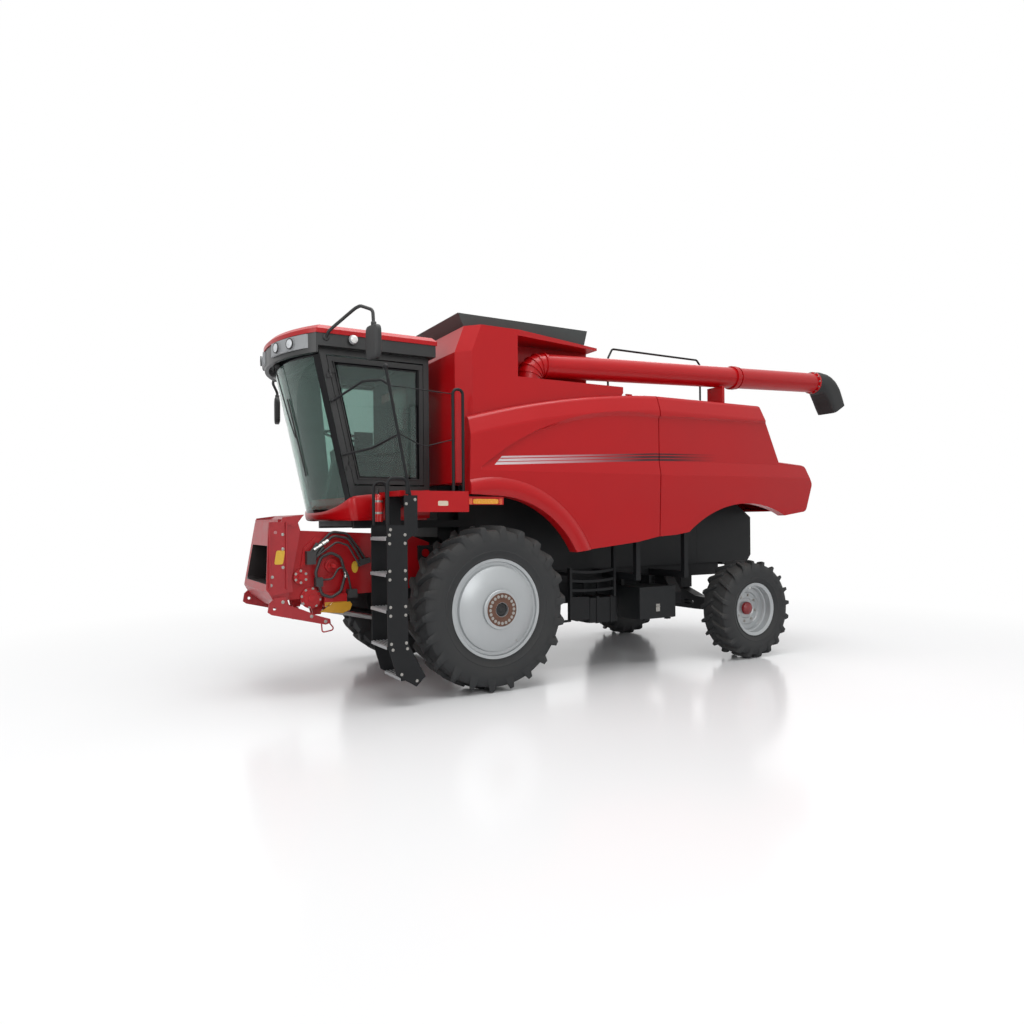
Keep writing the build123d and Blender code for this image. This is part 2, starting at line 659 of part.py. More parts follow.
# Engine deck and rear hood: one bent cover between the side panels
hood_profile = (
    # distance behind the front axle, height
    (tank_rear_y + 4, hood_top_z), (3925, hood_top_z), (3990, 3030), (4272, 2455), (4745, 2425), (4872, 2190), (4760, 1860),
    (4640, 1835),
)
hood_half_width = flange_x - 8
with BuildPart() as engine_hood:
    with BuildSketch(side_plane(-hood_half_width)):
        with BuildLine():
            cover = Polyline(*[(along(y), z) for y, z in hood_profile])
            offset(cover, amount=hood_thickness, side=Side.RIGHT)
        make_face()
    extrude(amount=2 * hood_half_width)
    with BuildSketch(Plane.XY.offset(hood_top_z - hood_thickness - 1)):
        with Locations((-480, along(2900))):
            with GridLocations(0, louvre_pitch, 1, 16):
                SlotOverall(620, louvre_width)
    extrude(amount=hood_thickness + 2, mode=Mode.SUBTRACT)
    rear_slope = Plane(origin=(0, along(4131), 2742), x_dir=(1, 0, 0), z_dir=(0, 0.898, 0.44))
    with BuildSketch(rear_slope.offset(-60)):
        with GridLocations(760, louvre_pitch, 2, 6):
            SlotOverall(600, louvre_width)
    extrude(amount=120, mode=Mode.SUBTRACT)
    for place in panel_hinge_places:
        for _, sx in sides:
            for ear_y in (place - 42, place + 30):
                with BuildSketch(cross_plane(along(ear_y))):
                    with Locations((sx * hinge_x, hinge_z)):
                        Circle(hinge_knuckle_radius)
                    with Locations((sx * hinge_x, (hinge_z + 3120) / 2)):
                        Rectangle(16, hinge_z - 3120)
                extrude(amount=-12)
            with BuildSketch(cross_plane(along(place - 42))):
                with Locations((sx * hinge_x, hinge_z)):
                    Circle(hinge_pin_radius)
            extrude(amount=-84)
save(engine_hood.part, "engine_hood")

# Side panels: moulded trays hung from their top edge, front and rear on each side
panel_low_x = side_x - 34
front_seam_y = seam_y - seam_gap / 2
rear_seam_y = seam_y + seam_gap / 2
crown_x = side_x - crown_inset
crown_low_z = panel_top_z - crown_drop
arch_end_y = 1010.0
arch_end_z = front_axle_z + math.sqrt(arch_radius ** 2 - arch_end_y ** 2)
arch_start_y = 120.0
arch_start_z = front_axle_z + math.sqrt(arch_radius ** 2 - arch_start_y ** 2)
arch_mid = arch_radius * math.sqrt(0.5)
front_faces = []
rear_faces = []
for face_x, drop, inset in ((flange_x, 0, 0), (crown_x, 0, 0), (side_x, crown_drop, 46)):
    with BuildSketch(side_plane(face_x)) as front_outline:
        with BuildLine():
            Line((along(-290), 2005), (along(-272), 2790 - drop))
            ThreePointArc((along(-272), 2790 - drop), (along(900), 3045 - drop),
                          (along(front_seam_y), panel_top_z - drop))
            Polyline((along(front_seam_y), panel_top_z - drop), (along(front_seam_y), 1540),
                     (along(1880), 1480), (along(arch_end_y + 60), 1400), (along(arch_end_y), arch_end_z))
            ThreePointArc((along(arch_end_y), arch_end_z), (along(arch_mid), front_axle_z + arch_mid),
                          (along(arch_start_y), arch_start_z))
            Line((along(arch_start_y), arch_start_z), (along(-290), 2005))
        make_face()
    with BuildSketch(side_plane(face_x)) as rear_outline:
        with BuildLine():
            Polyline((along(rear_seam_y), panel_top_z - drop),
                     (along(3935 + 0.49 * drop - inset), panel_top_z - drop),
                     (along(4285 - inset), 2470 - inset / 2))
            FilletPolyline((along(4285 - inset), 2470 - inset / 2), (along(4770 - inset / 2), 2440 - inset / 2),
                           (along(4895 - inset / 2), 2190), (along(4780 - inset / 2), 1830),
                           (along(4350), 1775), radius=80)
            ThreePointArc((along(4350), 1775), (along(3560), 1925), (along(2680), 1585))
            Polyline((along(2680), 1585), (along(2480), 1555), (along(rear_seam_y), 1540),
                     (along(rear_seam_y), panel_top_z - drop))
        make_face()
    front_faces.append(front_outline)
    rear_faces.append(rear_outline)

# The scallop is a shallow hollow with a sloped shelf below it, running from a point in front to the tail
with BuildPart() as front_scallop:
    for face_x, inset, shelf in ((side_x + 1, 0, 0), (side_x - scallop_depth, scallop_bevel, scallop_shelf)):
        with BuildSketch(side_plane(face_x)):
            with BuildLine():
                ThreePointArc((along(-160 + 2.4 * inset), waist_z + 20 + 0.85 * shelf),
                              (along(720), 2762 - inset), (along(front_seam_y + 1), 2938 - inset))
                Polyline((along(front_seam_y + 1), 2938 - inset), (along(front_seam_y + 1), waist_z + shelf),
                         (along(-160 + 2.4 * inset), waist_z - 10 + 0.85 * shelf),
                         (along(-160 + 2.4 * inset), waist_z + 20 + 0.85 * shelf))
            make_face()
    loft(ruled=True)
with BuildPart() as rear_scallop:
    for face_x, inset, shelf in ((side_x + 1, 0, 0), (side_x - scallop_depth, scallop_bevel, scallop_shelf)):
        with BuildSketch(side_plane(face_x)):
            with BuildLine():
                Polyline((along(rear_seam_y - 1), 2938 - inset), (along(5000), 3004 - inset),
                         (along(5000), waist_z + 18 + shelf), (along(rear_seam_y - 1), waist_z + shelf), close=True)
            make_face()
    loft(ruled=True)
with BuildPart() as panel_lean:
    with BuildSketch(cross_plane(along(-400))):
        with BuildLine():
            Polyline((flange_x, 1300), (panel_low_x, 1300), (side_x, waist_z), (side_x, 3300),
                     (flange_x, 3300), close=True)
        make_face()
    extrude(amount=-5400)
with BuildPart() as fender_ring:
    with BuildSketch(Plane.XY):
        with BuildLine():
            Polyline((side_x, arch_radius + fender_lip), (side_x - panel_thickness, arch_radius + fender_lip),
                     (side_x - panel_thickness, arch_radius), (side_x + 6, arch_radius))
            ThreePointArc((side_x + 6, arch_radius), (side_x + fender_stand_out, arch_radius + 0.36 * fender_lip),
                          (side_x, arch_radius + fender_lip))
        make_face()
    revolve(axis=Axis.X)
fender = fender_ring.part.translate((0, front_axle_y, front_axle_z))
for name, faces, scallop, hinge_places in (("front", front_faces, front_scallop, panel_hinge_places[:2]),
                                           ("rear", rear_faces, rear_scallop, panel_hinge_places[2:])):
    with BuildPart() as tray:
        extrude(faces[0].sketch, amount=crown_x - flange_x)
        loft([faces[1].sketch.faces()[0], faces[2].sketch.faces()[0]], ruled=True)
        fillet([e for e in tray.edges() if abs(e.center().X - crown_x) < 1 and e.center().Z > 2900], crown_radius)
        fillet([e for e in tray.edges() if abs(e.center().X - side_x) < 1 and e.center().Z > 2840], cheek_radius)
    with BuildPart() as hollow:
        with BuildSketch(side_plane(flange_x - 1)):
            add(faces[0].sketch_local)
            offset(amount=-panel_thickness)
        extrude(amount=side_x - panel_thickness - flange_x + 1)
    inner_crown = tray.part.translate((-panel_thickness, 0, -panel_thickness / 2))
    with BuildPart() as panel:
        add((tray.part & panel_lean.part) - scallop.part)
        add(hollow.part & panel_lean.part.translate((-panel_thickness, 0, 0)) & inner_crown, mode=Mode.SUBTRACT)
        if name == "front":
            lip_area = faces[0].sketch.translate((side_x - panel_thickness - flange_x, 0, 0))
            lip_block = extrude(lip_area, amount=100, mode=Mode.PRIVATE)
            add(fender & lip_block)
        for place in hinge_places:
            with BuildSketch(cross_plane(along(place - 25))):
                with Locations((hinge_x, hinge_z)):
                    Circle(hinge_knuckle_radius)
                with Locations(((hinge_x + flange_x + 6) / 2, hinge_z)):
                    Rectangle(flange_x + 6 - hinge_x, 12)
                with Locations((flange_x + 5, hinge_z - 24)):
                    Rectangle(10, 60)
                with Locations((hinge_x, hinge_z)):
                    Circle(hinge_pin_radius + bearing_gap, mode=Mode.SUBTRACT)
            extrude(amount=-50)
    for side, sx in sides:
        piece = panel.part if sx > 0 else panel.part.mirror(Plane.YZ)
        save(piece, "side_panel_" + name + "_" + side)

# Feeder house: a box duct from the front frame back to its pivot
feeder_front_y = -1930.0
with BuildPart() as feeder_house:
    with BuildSketch(side_plane(-feeder_half_width)):
        with BuildLine():
            Polyline((along(feeder_front_y), 975), (along(-1800), 1655), (along(-640), 1600),
                     (along(feeder_pivot_y + 60), feeder_pivot_z + 110), (along(feeder_pivot_y + 60), feeder_pivot_z - 200),
                     (along(-640), 1020), close=True)
        make_face()
    extrude(amount=2 * feeder_half_width)
    with BuildSketch(side_plane(-feeder_half_width + feeder_wall)):
        with BuildLine():
            Polyline((along(feeder_front_y - 30), 975 + feeder_wall), (along(-1820), 1655 - feeder_wall),
                     (along(-644), 1600 - feeder_wall), (along(-500), 1530 - feeder_wall),
                     (along(-300), 1530 - feeder_wall), (along(-300), 1235), (along(-400), 1215),
                     (along(-645), 1020 + feeder_wall), close=True)
        make_face()
    extrude(amount=2 * (feeder_half_width - feeder_wall), mode=Mode.SUBTRACT)
    with BuildSketch(side_plane(-feeder_half_width - running_gap - 30)):
        with Locations((along(feeder_pivot_y), feeder_pivot_z)):
            Circle(feeder_pivot_radius)
    extrude(amount=2 * (feeder_half_width + running_gap + 30))
    for _, sx in sides:
        for lug_x in (lift_x - 52, lift_x + 32):
            with BuildSketch(side_plane(sx * lug_x - (0 if sx > 0 else 20))):
                with BuildLine():
                    Polyline((along(lift_eye_y - 90), 1005), (along(lift_eye_y - 40), lift_eye_z - 55),
                             (along(lift_eye_y + 40), lift_eye_z - 55), (along(lift_eye_y + 90), 1005), close=True)
                make_face()
            extrude(amount=20)
save(feeder_house.part, "feeder_house")

# Feeder front frame: tilted face with the throat, top hook bar, turned-back lip and the near side plate
with BuildPart() as feeder_frame:
    with BuildSketch(side_plane(-frame_half_width)):
        with BuildLine():
            Polyline((along(-2112), 1060), (along(-1990), 1740), (along(-1830), 1760), (along(-1799.92), 1657),
                     (along(feeder_front_y - fit_gap), 975), (along(-1890), 856), (along(-1905), 850),
                     (along(-2066), 975), close=True)
        make_face()
    extrude(amount=2 * frame_half_width)
    with BuildSketch(cross_plane(along(-2250))):
        with BuildLine():
            Polyline((-throat_half_width, throat_low_z + 30), (-throat_half_width + 60, throat_low_z),
                     (throat_half_width - 60, throat_low_z), (throat_half_width, throat_low_z + 30),
                     (throat_half_width, throat_high_z), (-throat_half_width, throat_high_z), close=True)
        make_face()
    extrude(amount=-600, mode=Mode.SUBTRACT)
    with BuildSketch(side_plane(frame_half_width)):
        with BuildLine():
            Polyline((along(-2138), 1090), (along(-2112), 1740), (along(-1960), 1740), (along(-1880), 1060),
                     (along(-2090), 1030), close=True)
        make_face()
        with Locations((along(-2045), 1640)):
            Circle(16, mode=Mode.SUBTRACT)
    extrude(amount=12)
    for flange_y, flange_z, lean in ((-1950, 1740, 0), (-2112, 1740, 0)):
        with BuildSketch(Plane.XY.offset(1090)):
            with Locations((frame_half_width + 24, along(flange_y + 6))):
                Rectangle(24, 12)
        extrude(amount=flange_z - 1090)
    with Locations((-60, along(-1966), 1748)):
        Box(2 * frame_half_width - 140, 44, 40)
    for _, sx in sides:
        with BuildSketch(side_plane(sx * (frame_half_width - 5) - (0 if sx > 0 else 12))):
            with BuildLine():
                Polyline((along(-1985), 1740), (along(-1975), 1785), (along(-1765), 1812), (along(-1855), 1690),
                         close=True)
            make_face()
        extrude(amount=12)
    with BuildSketch(side_plane(-frame_half_width + 7)):
        with BuildLine():
            Polyline((along(-1835), 1758), (along(-1765), 1800), (along(-1765), 1812), (along(-1840), 1772),
                     close=True)
        make_face()
    extrude(amount=2 * frame_half_width - 14)
save(feeder_frame.part, "feeder_frame")

# Feeder conveyor: front drum, three chains round it and the slats that carry the crop
with BuildPart() as feeder_chain:
    with BuildSketch(side_plane(-feeder_half_width + feeder_wall)):
        with Locations((along(drum_y), drum_z)):
            Circle(drum_radius)
    extrude(amount=2 * (feeder_half_width - feeder_wall))
    conveyor_rise = 0.19
    for chain_x in (-430, 0, 430):
        with BuildSketch(side_plane(chain_x - 20)):
            with BuildLine():
                Polyline((along(drum_y), drum_z - drum_radius - 12),
                         (along(drum_y + 840), drum_z - drum_radius - 12 + 840 * conveyor_rise),
                         (along(drum_y + 840), drum_z - drum_radius + 20 + 840 * conveyor_rise),
                         (along(drum_y), drum_z - drum_radius + 20), close=True)
            make_face()
            with BuildLine():
                Polyline((along(drum_y), drum_z + drum_radius - 20),
                         (along(drum_y + 840), drum_z + drum_radius - 20 + 840 * 0.12),
                         (along(drum_y + 840), drum_z + drum_radius + 12 + 840 * 0.12),
                         (along(drum_y), drum_z + drum_radius + 12), close=True)
            make_face()
            with Locations((along(drum_y), drum_z)):
                Circle(drum_radius + 12)
        extrude(amount=40)
    for slat in range(4):
        slat_y = drum_y + 60 + slat * slat_pitch
        slat_z = drum_z - drum_radius - 12 + (slat_y - drum_y) * conveyor_rise
        with Locations((0, along(slat_y), slat_z - slat_height / 2 + 12)):
            Box(940, 14, slat_height)
            Box(940, 34, 10)
    with Locations((0, along(drum_y - drum_radius - 20), drum_z)):
        Box(940, slat_height, 14)
save(feeder_chain.part, "feeder_chain")

# Feeder drive: drum bearings, the drive stubs, the safety stop plates and the coupler blocks
bearing_y = -1690.0
bearing_z = 985.0
drive_y = -1480.0
drive_z = 1300.0
with BuildPart() as feeder_drive:
    for _, sx in sides:
        for disc_y, disc_z, disc_radius, disc_height in ((bearing_y, bearing_z, 104, 22), (bearing_y, bearing_z, 84, 32),
                                                         (bearing_y, bearing_z, 34, 46), (-1791, 1199, 74, 26),
                                                         (-1791, 1199, 30, 44), (drive_y, drive_z, 66, 24),
                                                         (drive_y, drive_z, 40, 34)):
            with BuildSketch(side_plane(sx * feeder_half_width)):
                with Locations((along(disc_y), disc_z)):
                    Circle(disc_radius)
            extrude(amount=sx * disc_height)
        with BuildSketch(side_plane(sx * (feeder_half_width + 30))):
            with Locations((along(drive_y), drive_z)):
                Circle(header_drive_radius)
        extrude(amount=sx * header_drive_length)
        with BuildSketch(side_plane(sx * feeder_half_width)):
            with BuildLine():
                Polyline((along(-1790), 1300), (along(-1700), 1340), (along(-1560), 1420), (along(-1520), 1560),
                         (along(-1640), 1590), (along(-1760), 1480), close=True)
            make_face()
        extrude(amount=sx * 16)
    with BuildSketch(side_plane(feeder_half_width)):
        with BuildLine():
            Polyline((along(-1620), 1044), (along(-1480), 1010), (along(-1480), 992), (along(-1620), 1010), close=True)
        make_face()
    extrude(amount=54)
    with BuildSketch(side_plane(feeder_half_width + 48)):
        with BuildLine():
            Polyline((along(-1613), 842), (along(-1480), 926), (along(-1300), 930), (along(-1281), 905),
                     (along(-1300), 850), (along(-1379), 817), close=True)
        make_face()
    extrude(amount=12)
    with BuildSketch(side_plane(feeder_half_width)):
        with BuildLine():
            Polyline((along(-1560), 888), (along(-1480), 926), (along(-1330), 926), (along(-1330), 1012),
                     (along(-1560), 1030), close=True)
        make_face()
    extrude(amount=48)
save(feeder_drive.part, "feeder_drive")

# Feeder hoses: a coiled loop, the bundle over it and two bright coupler tubes, clipped to the near side
hose_runs = (
    # points across, along and up, bend radius, tube radius
    (((612, -1640, 1110), (612, -1656, 1240), (612, -1600, 1390), (612, -1500, 1432), (612, -1400, 1380),
      (612, -1352, 1210), (612, -1400, 1040), (612, -1500, 982), (612, -1600, 1020), (612, -1618, 1105)), 68, 15),
    (((575, -1690, 1400), (576, -1640, 1490), (580, -1480, 1640), (580, -1320, 1620), (572, -1200, 1470),
      (560, -1110, 1330)), 90, hose_radius),
    (((596, -1680, 1380), (602, -1620, 1480), (610, -1470, 1600), (608, -1320, 1570), (600, -1230, 1440),
      (588, -1150, 1310)), 80, hose_radius),
    (((590, -1700, 1350), (640, -1590, 1440), (644, -1450, 1540), (640, -1330, 1500), (630, -1270, 1400),
      (616, -1200, 1290)), 70, 10),
    (((576, -1600, 1160), (650, -1500, 1170), (652, -1405, 1330), (640, -1330, 1190), (600, -1290, 1040)), 50, 10),
)
with BuildPart() as feeder_hoses:
    for points, bend, tube in hose_runs:
        with BuildLine():
            run = FilletPolyline(*[(x, along(y), z) for x, y, z in points], radius=bend)
        with BuildSketch(Plane(origin=run @ 0, z_dir=run % 0)):
            Circle(tube)
        sweep()
    with BuildSketch(side_plane(feeder_half_width)):
        with BuildLine():
            Polyline((along(-1200), 1280), (along(-1080), 1320), (along(-1080), 1370), (along(-1200), 1350), close=True)
        make_face()
    extrude(amount=64)
    with Locations((feeder_half_width + 44, along(-1620), 1142)):
        Box(88, 70, 90)
    with Locations((feeder_half_width + 38, along(-1276), 1012)):
        Box(76, 96, 84)
    with BuildSketch(side_plane(feeder_half_width + 16)):
        with Locations((along(-1700), 1385)):
            Rectangle(90, 130)
    extrude(amount=70)
    for tube_y, tube_z in ((-1700, 1440), (-1640, 1400)):
        coupler_plane = Plane(origin=(feeder_half_width + 60, along(tube_y), tube_z), x_dir=(1, 0, 0),
                              z_dir=(0, 0.62, 0.78))
        for start, length, radius in ((-40, 150, 15), (70, 36, 19)):
            with BuildSketch(coupler_plane.offset(start)):
                Circle(radius)
            extrude(amount=length)
save(feeder_hoses.part, "feeder_hoses")

# Header latches: plates under the front frame with the lock pin holes
latch_plate = 20.0
with BuildPart() as header_latches:
    for _, sx in sides:
        with BuildSketch(side_plane(sx * frame_half_width)):
            with BuildLine():
                Polyline((along(-2125), 872), (along(-2110), 960), (along(-2060), 1005), (along(-1960), 1015),
                         (along(-1930), 930), (along(-1790), 880), (along(-1640), 812), (along(-1512), 770),
                         (along(-1506), 732), (along(-1560), 716), (along(-2090), 846), close=True)
            make_face()
            with Locations((along(latch_hole_y), latch_hole_z)):
                Circle(latch_hole_radius, mode=Mode.SUBTRACT)
        extrude(amount=sx * latch_plate)
        with BuildLine():
            handle = FilletPolyline((sx * (frame_half_width + 10), along(-1600), 745),
                                    (sx * (frame_half_width + 10), along(-1592), 640),
                                    (sx * (frame_half_width + 10), along(-1462), 660),
                                    (sx * (frame_half_width + 10), along(-1530), 745), radius=22)
        with BuildSketch(Plane(origin=handle @ 0, z_dir=handle % 0)):
            Circle(7)
        sweep()
save(header_latches.part, "header_latches")

# Lift cylinders: barrels hinged on the axle, rods open at the feeder's eye
lift_run_y = lift_eye_y - lift_foot_y
lift_run_z = lift_eye_z - lift_foot_z
lift_length = math.hypot(lift_run_y, lift_run_z)
lift_tilt = math.degrees(math.atan2(lift_run_z, -lift_run_y))
for name, sx in sides:
    lift_plane = Plane(origin=(sx * lift_x, along(lift_foot_y), lift_foot_z), x_dir=(1, 0, 0),
                       z_dir=(0, lift_run_y, lift_run_z))
    with BuildPart() as barrel:
        with BuildSketch(lift_plane.offset(100)):
            Circle(lift_barrel_radius)
        extrude(amount=700)
        with BuildSketch(lift_plane.offset(20)):
            Rectangle(60, 70)
        extrude(amount=90)
        with BuildSketch(lift_plane.offset(140)):
            Circle(lift_rod_radius + bearing_gap)
        extrude(amount=700, mode=Mode.SUBTRACT)
        with BuildSketch(side_plane(sx * lift_x - 30)):
            with Locations((along(lift_foot_y), lift_foot_z)):
                Circle(48)
        extrude(amount=60)
        with BuildSketch(side_plane(sx * lift_x - 60)):
            with Locations((along(lift_foot_y), lift_foot_z)):
                Circle(22 + bearing_gap)
        extrude(amount=120, mode=Mode.SUBTRACT)
    save(barrel.part, "lift_barrel_" + name)
    with BuildPart() as rod:
        with BuildSketch(lift_plane.offset(150 + 420)):
            Circle(lift_rod_radius)
        extrude(amount=lift_length - 150 - 420)
        with BuildSketch(side_plane(sx * lift_x - 24)):
            with Locations((along(lift_eye_y), lift_eye_z)):
                Circle(40)
        extrude(amount=48)
    save(rod.part, "lift_rod_" + name)

# Cab base: floor with a red skirt and a rounded nose behind the windscreen
pillar_slope = (pillar_head_y - pillar_foot_y) / (cab_head_z - cab_floor_z)
screen_foot_z = 1800.0
screen_foot_y = pillar_foot_y + pillar_slope * (screen_foot_z - cab_floor_z)
base_bottom_z = 1750.0
with BuildPart() as cab_base:
    for base_z, height, half_width, nose in ((base_bottom_z, 80, cab_half_width - 70, -1400),
                                             (base_bottom_z + 80, cab_floor_z - base_bottom_z - 80,
                                              cab_half_width, -1455)):
        with BuildSketch(Plane.XY.offset(base_z)):
            with BuildLine():
                Polyline((-half_width, along(-1270)), (-half_width, along(cab_rear_y)),
                         (half_width, along(cab_rear_y)), (half_width, along(-1270)))
                ThreePointArc((half_width, along(-1270)), (0, along(nose)), (-half_width, along(-1270)))
            make_face()
        extrude(amount=height)
save(cab_base.part, "cab_base")

# Cab bearers: two beams under the floor, tied at the front, and the platform brackets
with BuildPart() as cab_bearers:
    with Locations(*[(sx * (body_half_width + 30), along(-560), base_bottom_z - 40) for _, sx in sides]):
        Box(60, 1400, 80)
    with Locations((0, along(-1240), base_bottom_z - 30)):
        Box(2 * body_half_width, 50, 60)
    for bracket_y in (-850, -520):
        with BuildSketch(cross_plane(along(bracket_y))):
            with BuildLine():
                Polyline((cab_half_width, platform_z - 50), (platform_x - 60, platform_z - 50),
                         (platform_x - 60, platform_z - 95), (cab_half_width, platform_z - 180), close=True)
            make_face()
        extrude(amount=50)
save(cab_bearers.part, "cab_bearers")

# Cab frame: two side frames joined by cross members, the door side open for the door
def pillar_y(z):
    return pillar_foot_y + pillar_slope * (z - cab_floor_z)


pillar_width = 62.0
head_rail = 60.0
with BuildPart() as cab_frame:
    for _, sx in sides:
        sill_z = door_sill_z - door_low_gap if sx > 0 else door_sill_z + 120
        with BuildSketch(side_plane(sx * cab_half_width)):
            with BuildLine():
                Polyline((along(pillar_y(cab_floor_z)), cab_floor_z), (along(pillar_y(cab_head_z)), cab_head_z),
                         (along(cab_rear_y), cab_head_z), (along(cab_rear_y), cab_floor_z), close=True)
            make_face()
            with BuildLine():
                Polyline((along(pillar_y(sill_z) + pillar_width), sill_z),
                         (along(pillar_y(cab_head_z - head_rail) + pillar_width), cab_head_z - head_rail),
                         (along(cab_rear_y - pillar_width), cab_head_z - head_rail),
                         (along(cab_rear_y - pillar_width), sill_z), close=True)
            make_face(mode=Mode.SUBTRACT)
        extrude(amount=-sx * cab_wall)
    with Locations((0, along(cab_rear_y - 30), cab_head_z - 30), (0, along(cab_rear_y - 30), cab_floor_z + 60),
                   (0, along(pillar_y(cab_head_z) + 45), cab_head_z - 30)):
        Box(2 * cab_half_width - 20, 60, 60)
    with Locations((0, along(cab_rear_y - 20), cab_floor_z + 260)):
        Box(2 * cab_half_width - 20, 40, 520)
    for height in door_hinge_heights:
        hinge_plane = Plane(origin=(door_hinge_x, along(pillar_y(height) + pillar_width + door_gap / 2), height),
                            x_dir=(1, 0, 0), z_dir=(0, pillar_slope, 1))
        with BuildSketch(hinge_plane.offset(-42)):
            Circle(13)
            with Locations((-8, -22)):
                Rectangle(16, 44)
        extrude(amount=40)
        with BuildSketch(hinge_plane.offset(-42)):
            Circle(6)
        extrude(amount=80)
save(cab_frame.part, "cab_frame")

# Windscreen: one curved pane from under the roof to below the floor
with BuildPart() as windscreen:
    for screen_z, edge_y, half_width in ((screen_foot_z, screen_foot_y, cab_half_width - 14),
                                         (cab_head_z - 2, pillar_y(cab_head_z - 2), cab_half_width - 4)):
        with BuildSketch(Plane.XY.offset(screen_z)):
            with BuildLine():
                outer = ThreePointArc((half_width, along(edge_y - 10)), (0, along(edge_y - 10 - screen_bulge)),
                                      (-half_width, along(edge_y - 10)))
                Line(outer @ 1, (-half_width, along(edge_y - 1)))
                back = ThreePointArc((-half_width, along(edge_y - 1)),
                                     (0, along(edge_y - 10 - screen_bulge + screen_thickness)),
                                     (half_width, along(edge_y - 1)))
                Line(back @ 1, outer @ 0)
            make_face()
    loft(ruled=True)
save(windscreen.part, "windscreen")

# Fixed windows: right side pane and rear pane
with BuildPart() as cab_windows:
    with BuildSketch(side_plane(-cab_half_width + 20)):
        with BuildLine():
            low_z = door_sill_z + 120
            Polyline((along(pillar_y(low_z) + pillar_width), low_z),
                     (along(pillar_y(cab_head_z - head_rail) + pillar_width), cab_head_z - head_rail),
                     (along(cab_rear_y - pillar_width), cab_head_z - head_rail),
                     (along(cab_rear_y - pillar_width), low_z), close=True)
        make_face()
    extrude(amount=8)
    with Locations((0, along(cab_rear_y - 30), (cab_floor_z + 520 + cab_head_z - 60) / 2)):
        Box(2 * cab_half_width - 2 * cab_wall, 8, cab_head_z - 60 - cab_floor_z - 520)
save(cab_windows.part, "cab_windows")

# Door: a frame with its pane, hung on the slanted front pillar
door_low_z = door_sill_z
door_high_z = cab_head_z - head_rail - door_top_gap
with BuildPart() as door_shape:
    with BuildSketch(side_plane(cab_half_width)):
        with BuildLine():
            Polyline((along(pillar_y(door_low_z) + pillar_width + door_gap), door_low_z),
                     (along(pillar_y(door_high_z) + pillar_width + door_gap), door_high_z),
                     (along(cab_rear_y - pillar_width - door_gap), door_high_z),
                     (along(cab_rear_y - pillar_width - door_gap), door_low_z), close=True)
        make_face()
    extrude(amount=-door_thickness)
with BuildPart() as door_pane_shape:
    with BuildSketch(side_plane(cab_half_width + 5)):
        with BuildLine():
            pane_low_z = door_low_z + door_border
            pane_high_z = door_high_z - door_border
            Polyline((along(pillar_y(pane_low_z) + pillar_width + door_gap + door_border), pane_low_z),
                     (along(pillar_y(pane_high_z) + pillar_width + door_gap + door_border), pane_high_z),
                     (along(cab_rear_y - pillar_width - door_gap - door_border), pane_high_z),
                     (along(cab_rear_y - pillar_width - door_gap - door_border), pane_low_z), close=True)
        make_face()
    extrude(amount=-door_thickness - 10)
with BuildPart() as cab_door:
    add(door_shape.part - door_pane_shape.part)
    for height in door_hinge_heights:
        hinge_plane = Plane(origin=(door_hinge_x, along(pillar_y(height) + pillar_width + door_gap / 2), height),
                            x_dir=(1, 0, 0), z_dir=(0, pillar_slope, 1))
        with BuildSketch(hinge_plane):
            Circle(13)
            with Locations((-8, 22)):
                Rectangle(16, 44)
            Circle(6 + bearing_gap, mode=Mode.SUBTRACT)
        extrude(amount=38)
save(cab_door.part, "cab_door")
with BuildPart() as door_glass:
    with BuildSketch(side_plane(cab_half_width - 12)):
        with BuildLine():
            Polyline((along(pillar_y(pane_low_z) + pillar_width + door_gap + door_border), pane_low_z),
                     (along(pillar_y(pane_high_z) + pillar_width + door_gap + door_border), pane_high_z),
                     (along(cab_rear_y - pillar_width - door_gap - door_border), pane_high_z),
                     (along(cab_rear_y - pillar_width - door_gap - door_border), pane_low_z), close=True)
        make_face()
    extrude(amount=-8)
save(door_glass.part, "door_glass")

# Roof: a black visor slab with a lowered brow in front and the red cover on top
with BuildPart() as roof_visor:
    for visor_z, height, inset, cut in ((cab_head_z, roof_bottom_z - cab_head_z, 12, 0),
                                        (cab_head_z - 70, 70, 12, 1)):
        with BuildSketch(Plane.XY.offset(visor_z)):
            with BuildLine():
                half = roof_half_width - inset
                Polyline((half, along(roof_corner_y)), (half, along(roof_rear_y - inset)),
                         (-half, along(roof_rear_y - inset)), (-half, along(roof_corner_y)))
                ThreePointArc((-half, along(roof_corner_y)), (0, along(roof_front_y + inset)),
                              (half, along(roof_corner_y)))
            make_face()
            if cut:
                with Locations((0, along(pillar_head_y - 30 + 1000))):
                    Rectangle(2000, 2000, mode=Mode.SUBTRACT)
                with BuildLine():
                    ThreePointArc((-cab_half_width - 30, along(pillar_head_y - 30)),
                                  (0, along(pillar_head_y - 60 - screen_bulge)),
                                  (cab_half_width + 30, along(pillar_head_y - 30)))
                    Line((cab_half_width + 30, along(pillar_head_y - 30)),
                         (-cab_half_width - 30, along(pillar_head_y - 30)))
                make_face(mode=Mode.SUBTRACT)
        extrude(amount=height)
save(roof_visor.part, "roof_visor")
roof_layers = (
    # height, how far the outline is drawn in
    (roof_bottom_z, 0.0), (roof_bottom_z + 42, 0.0), (roof_bottom_z + 84, 42.0), (roof_top_z, 170.0),
)
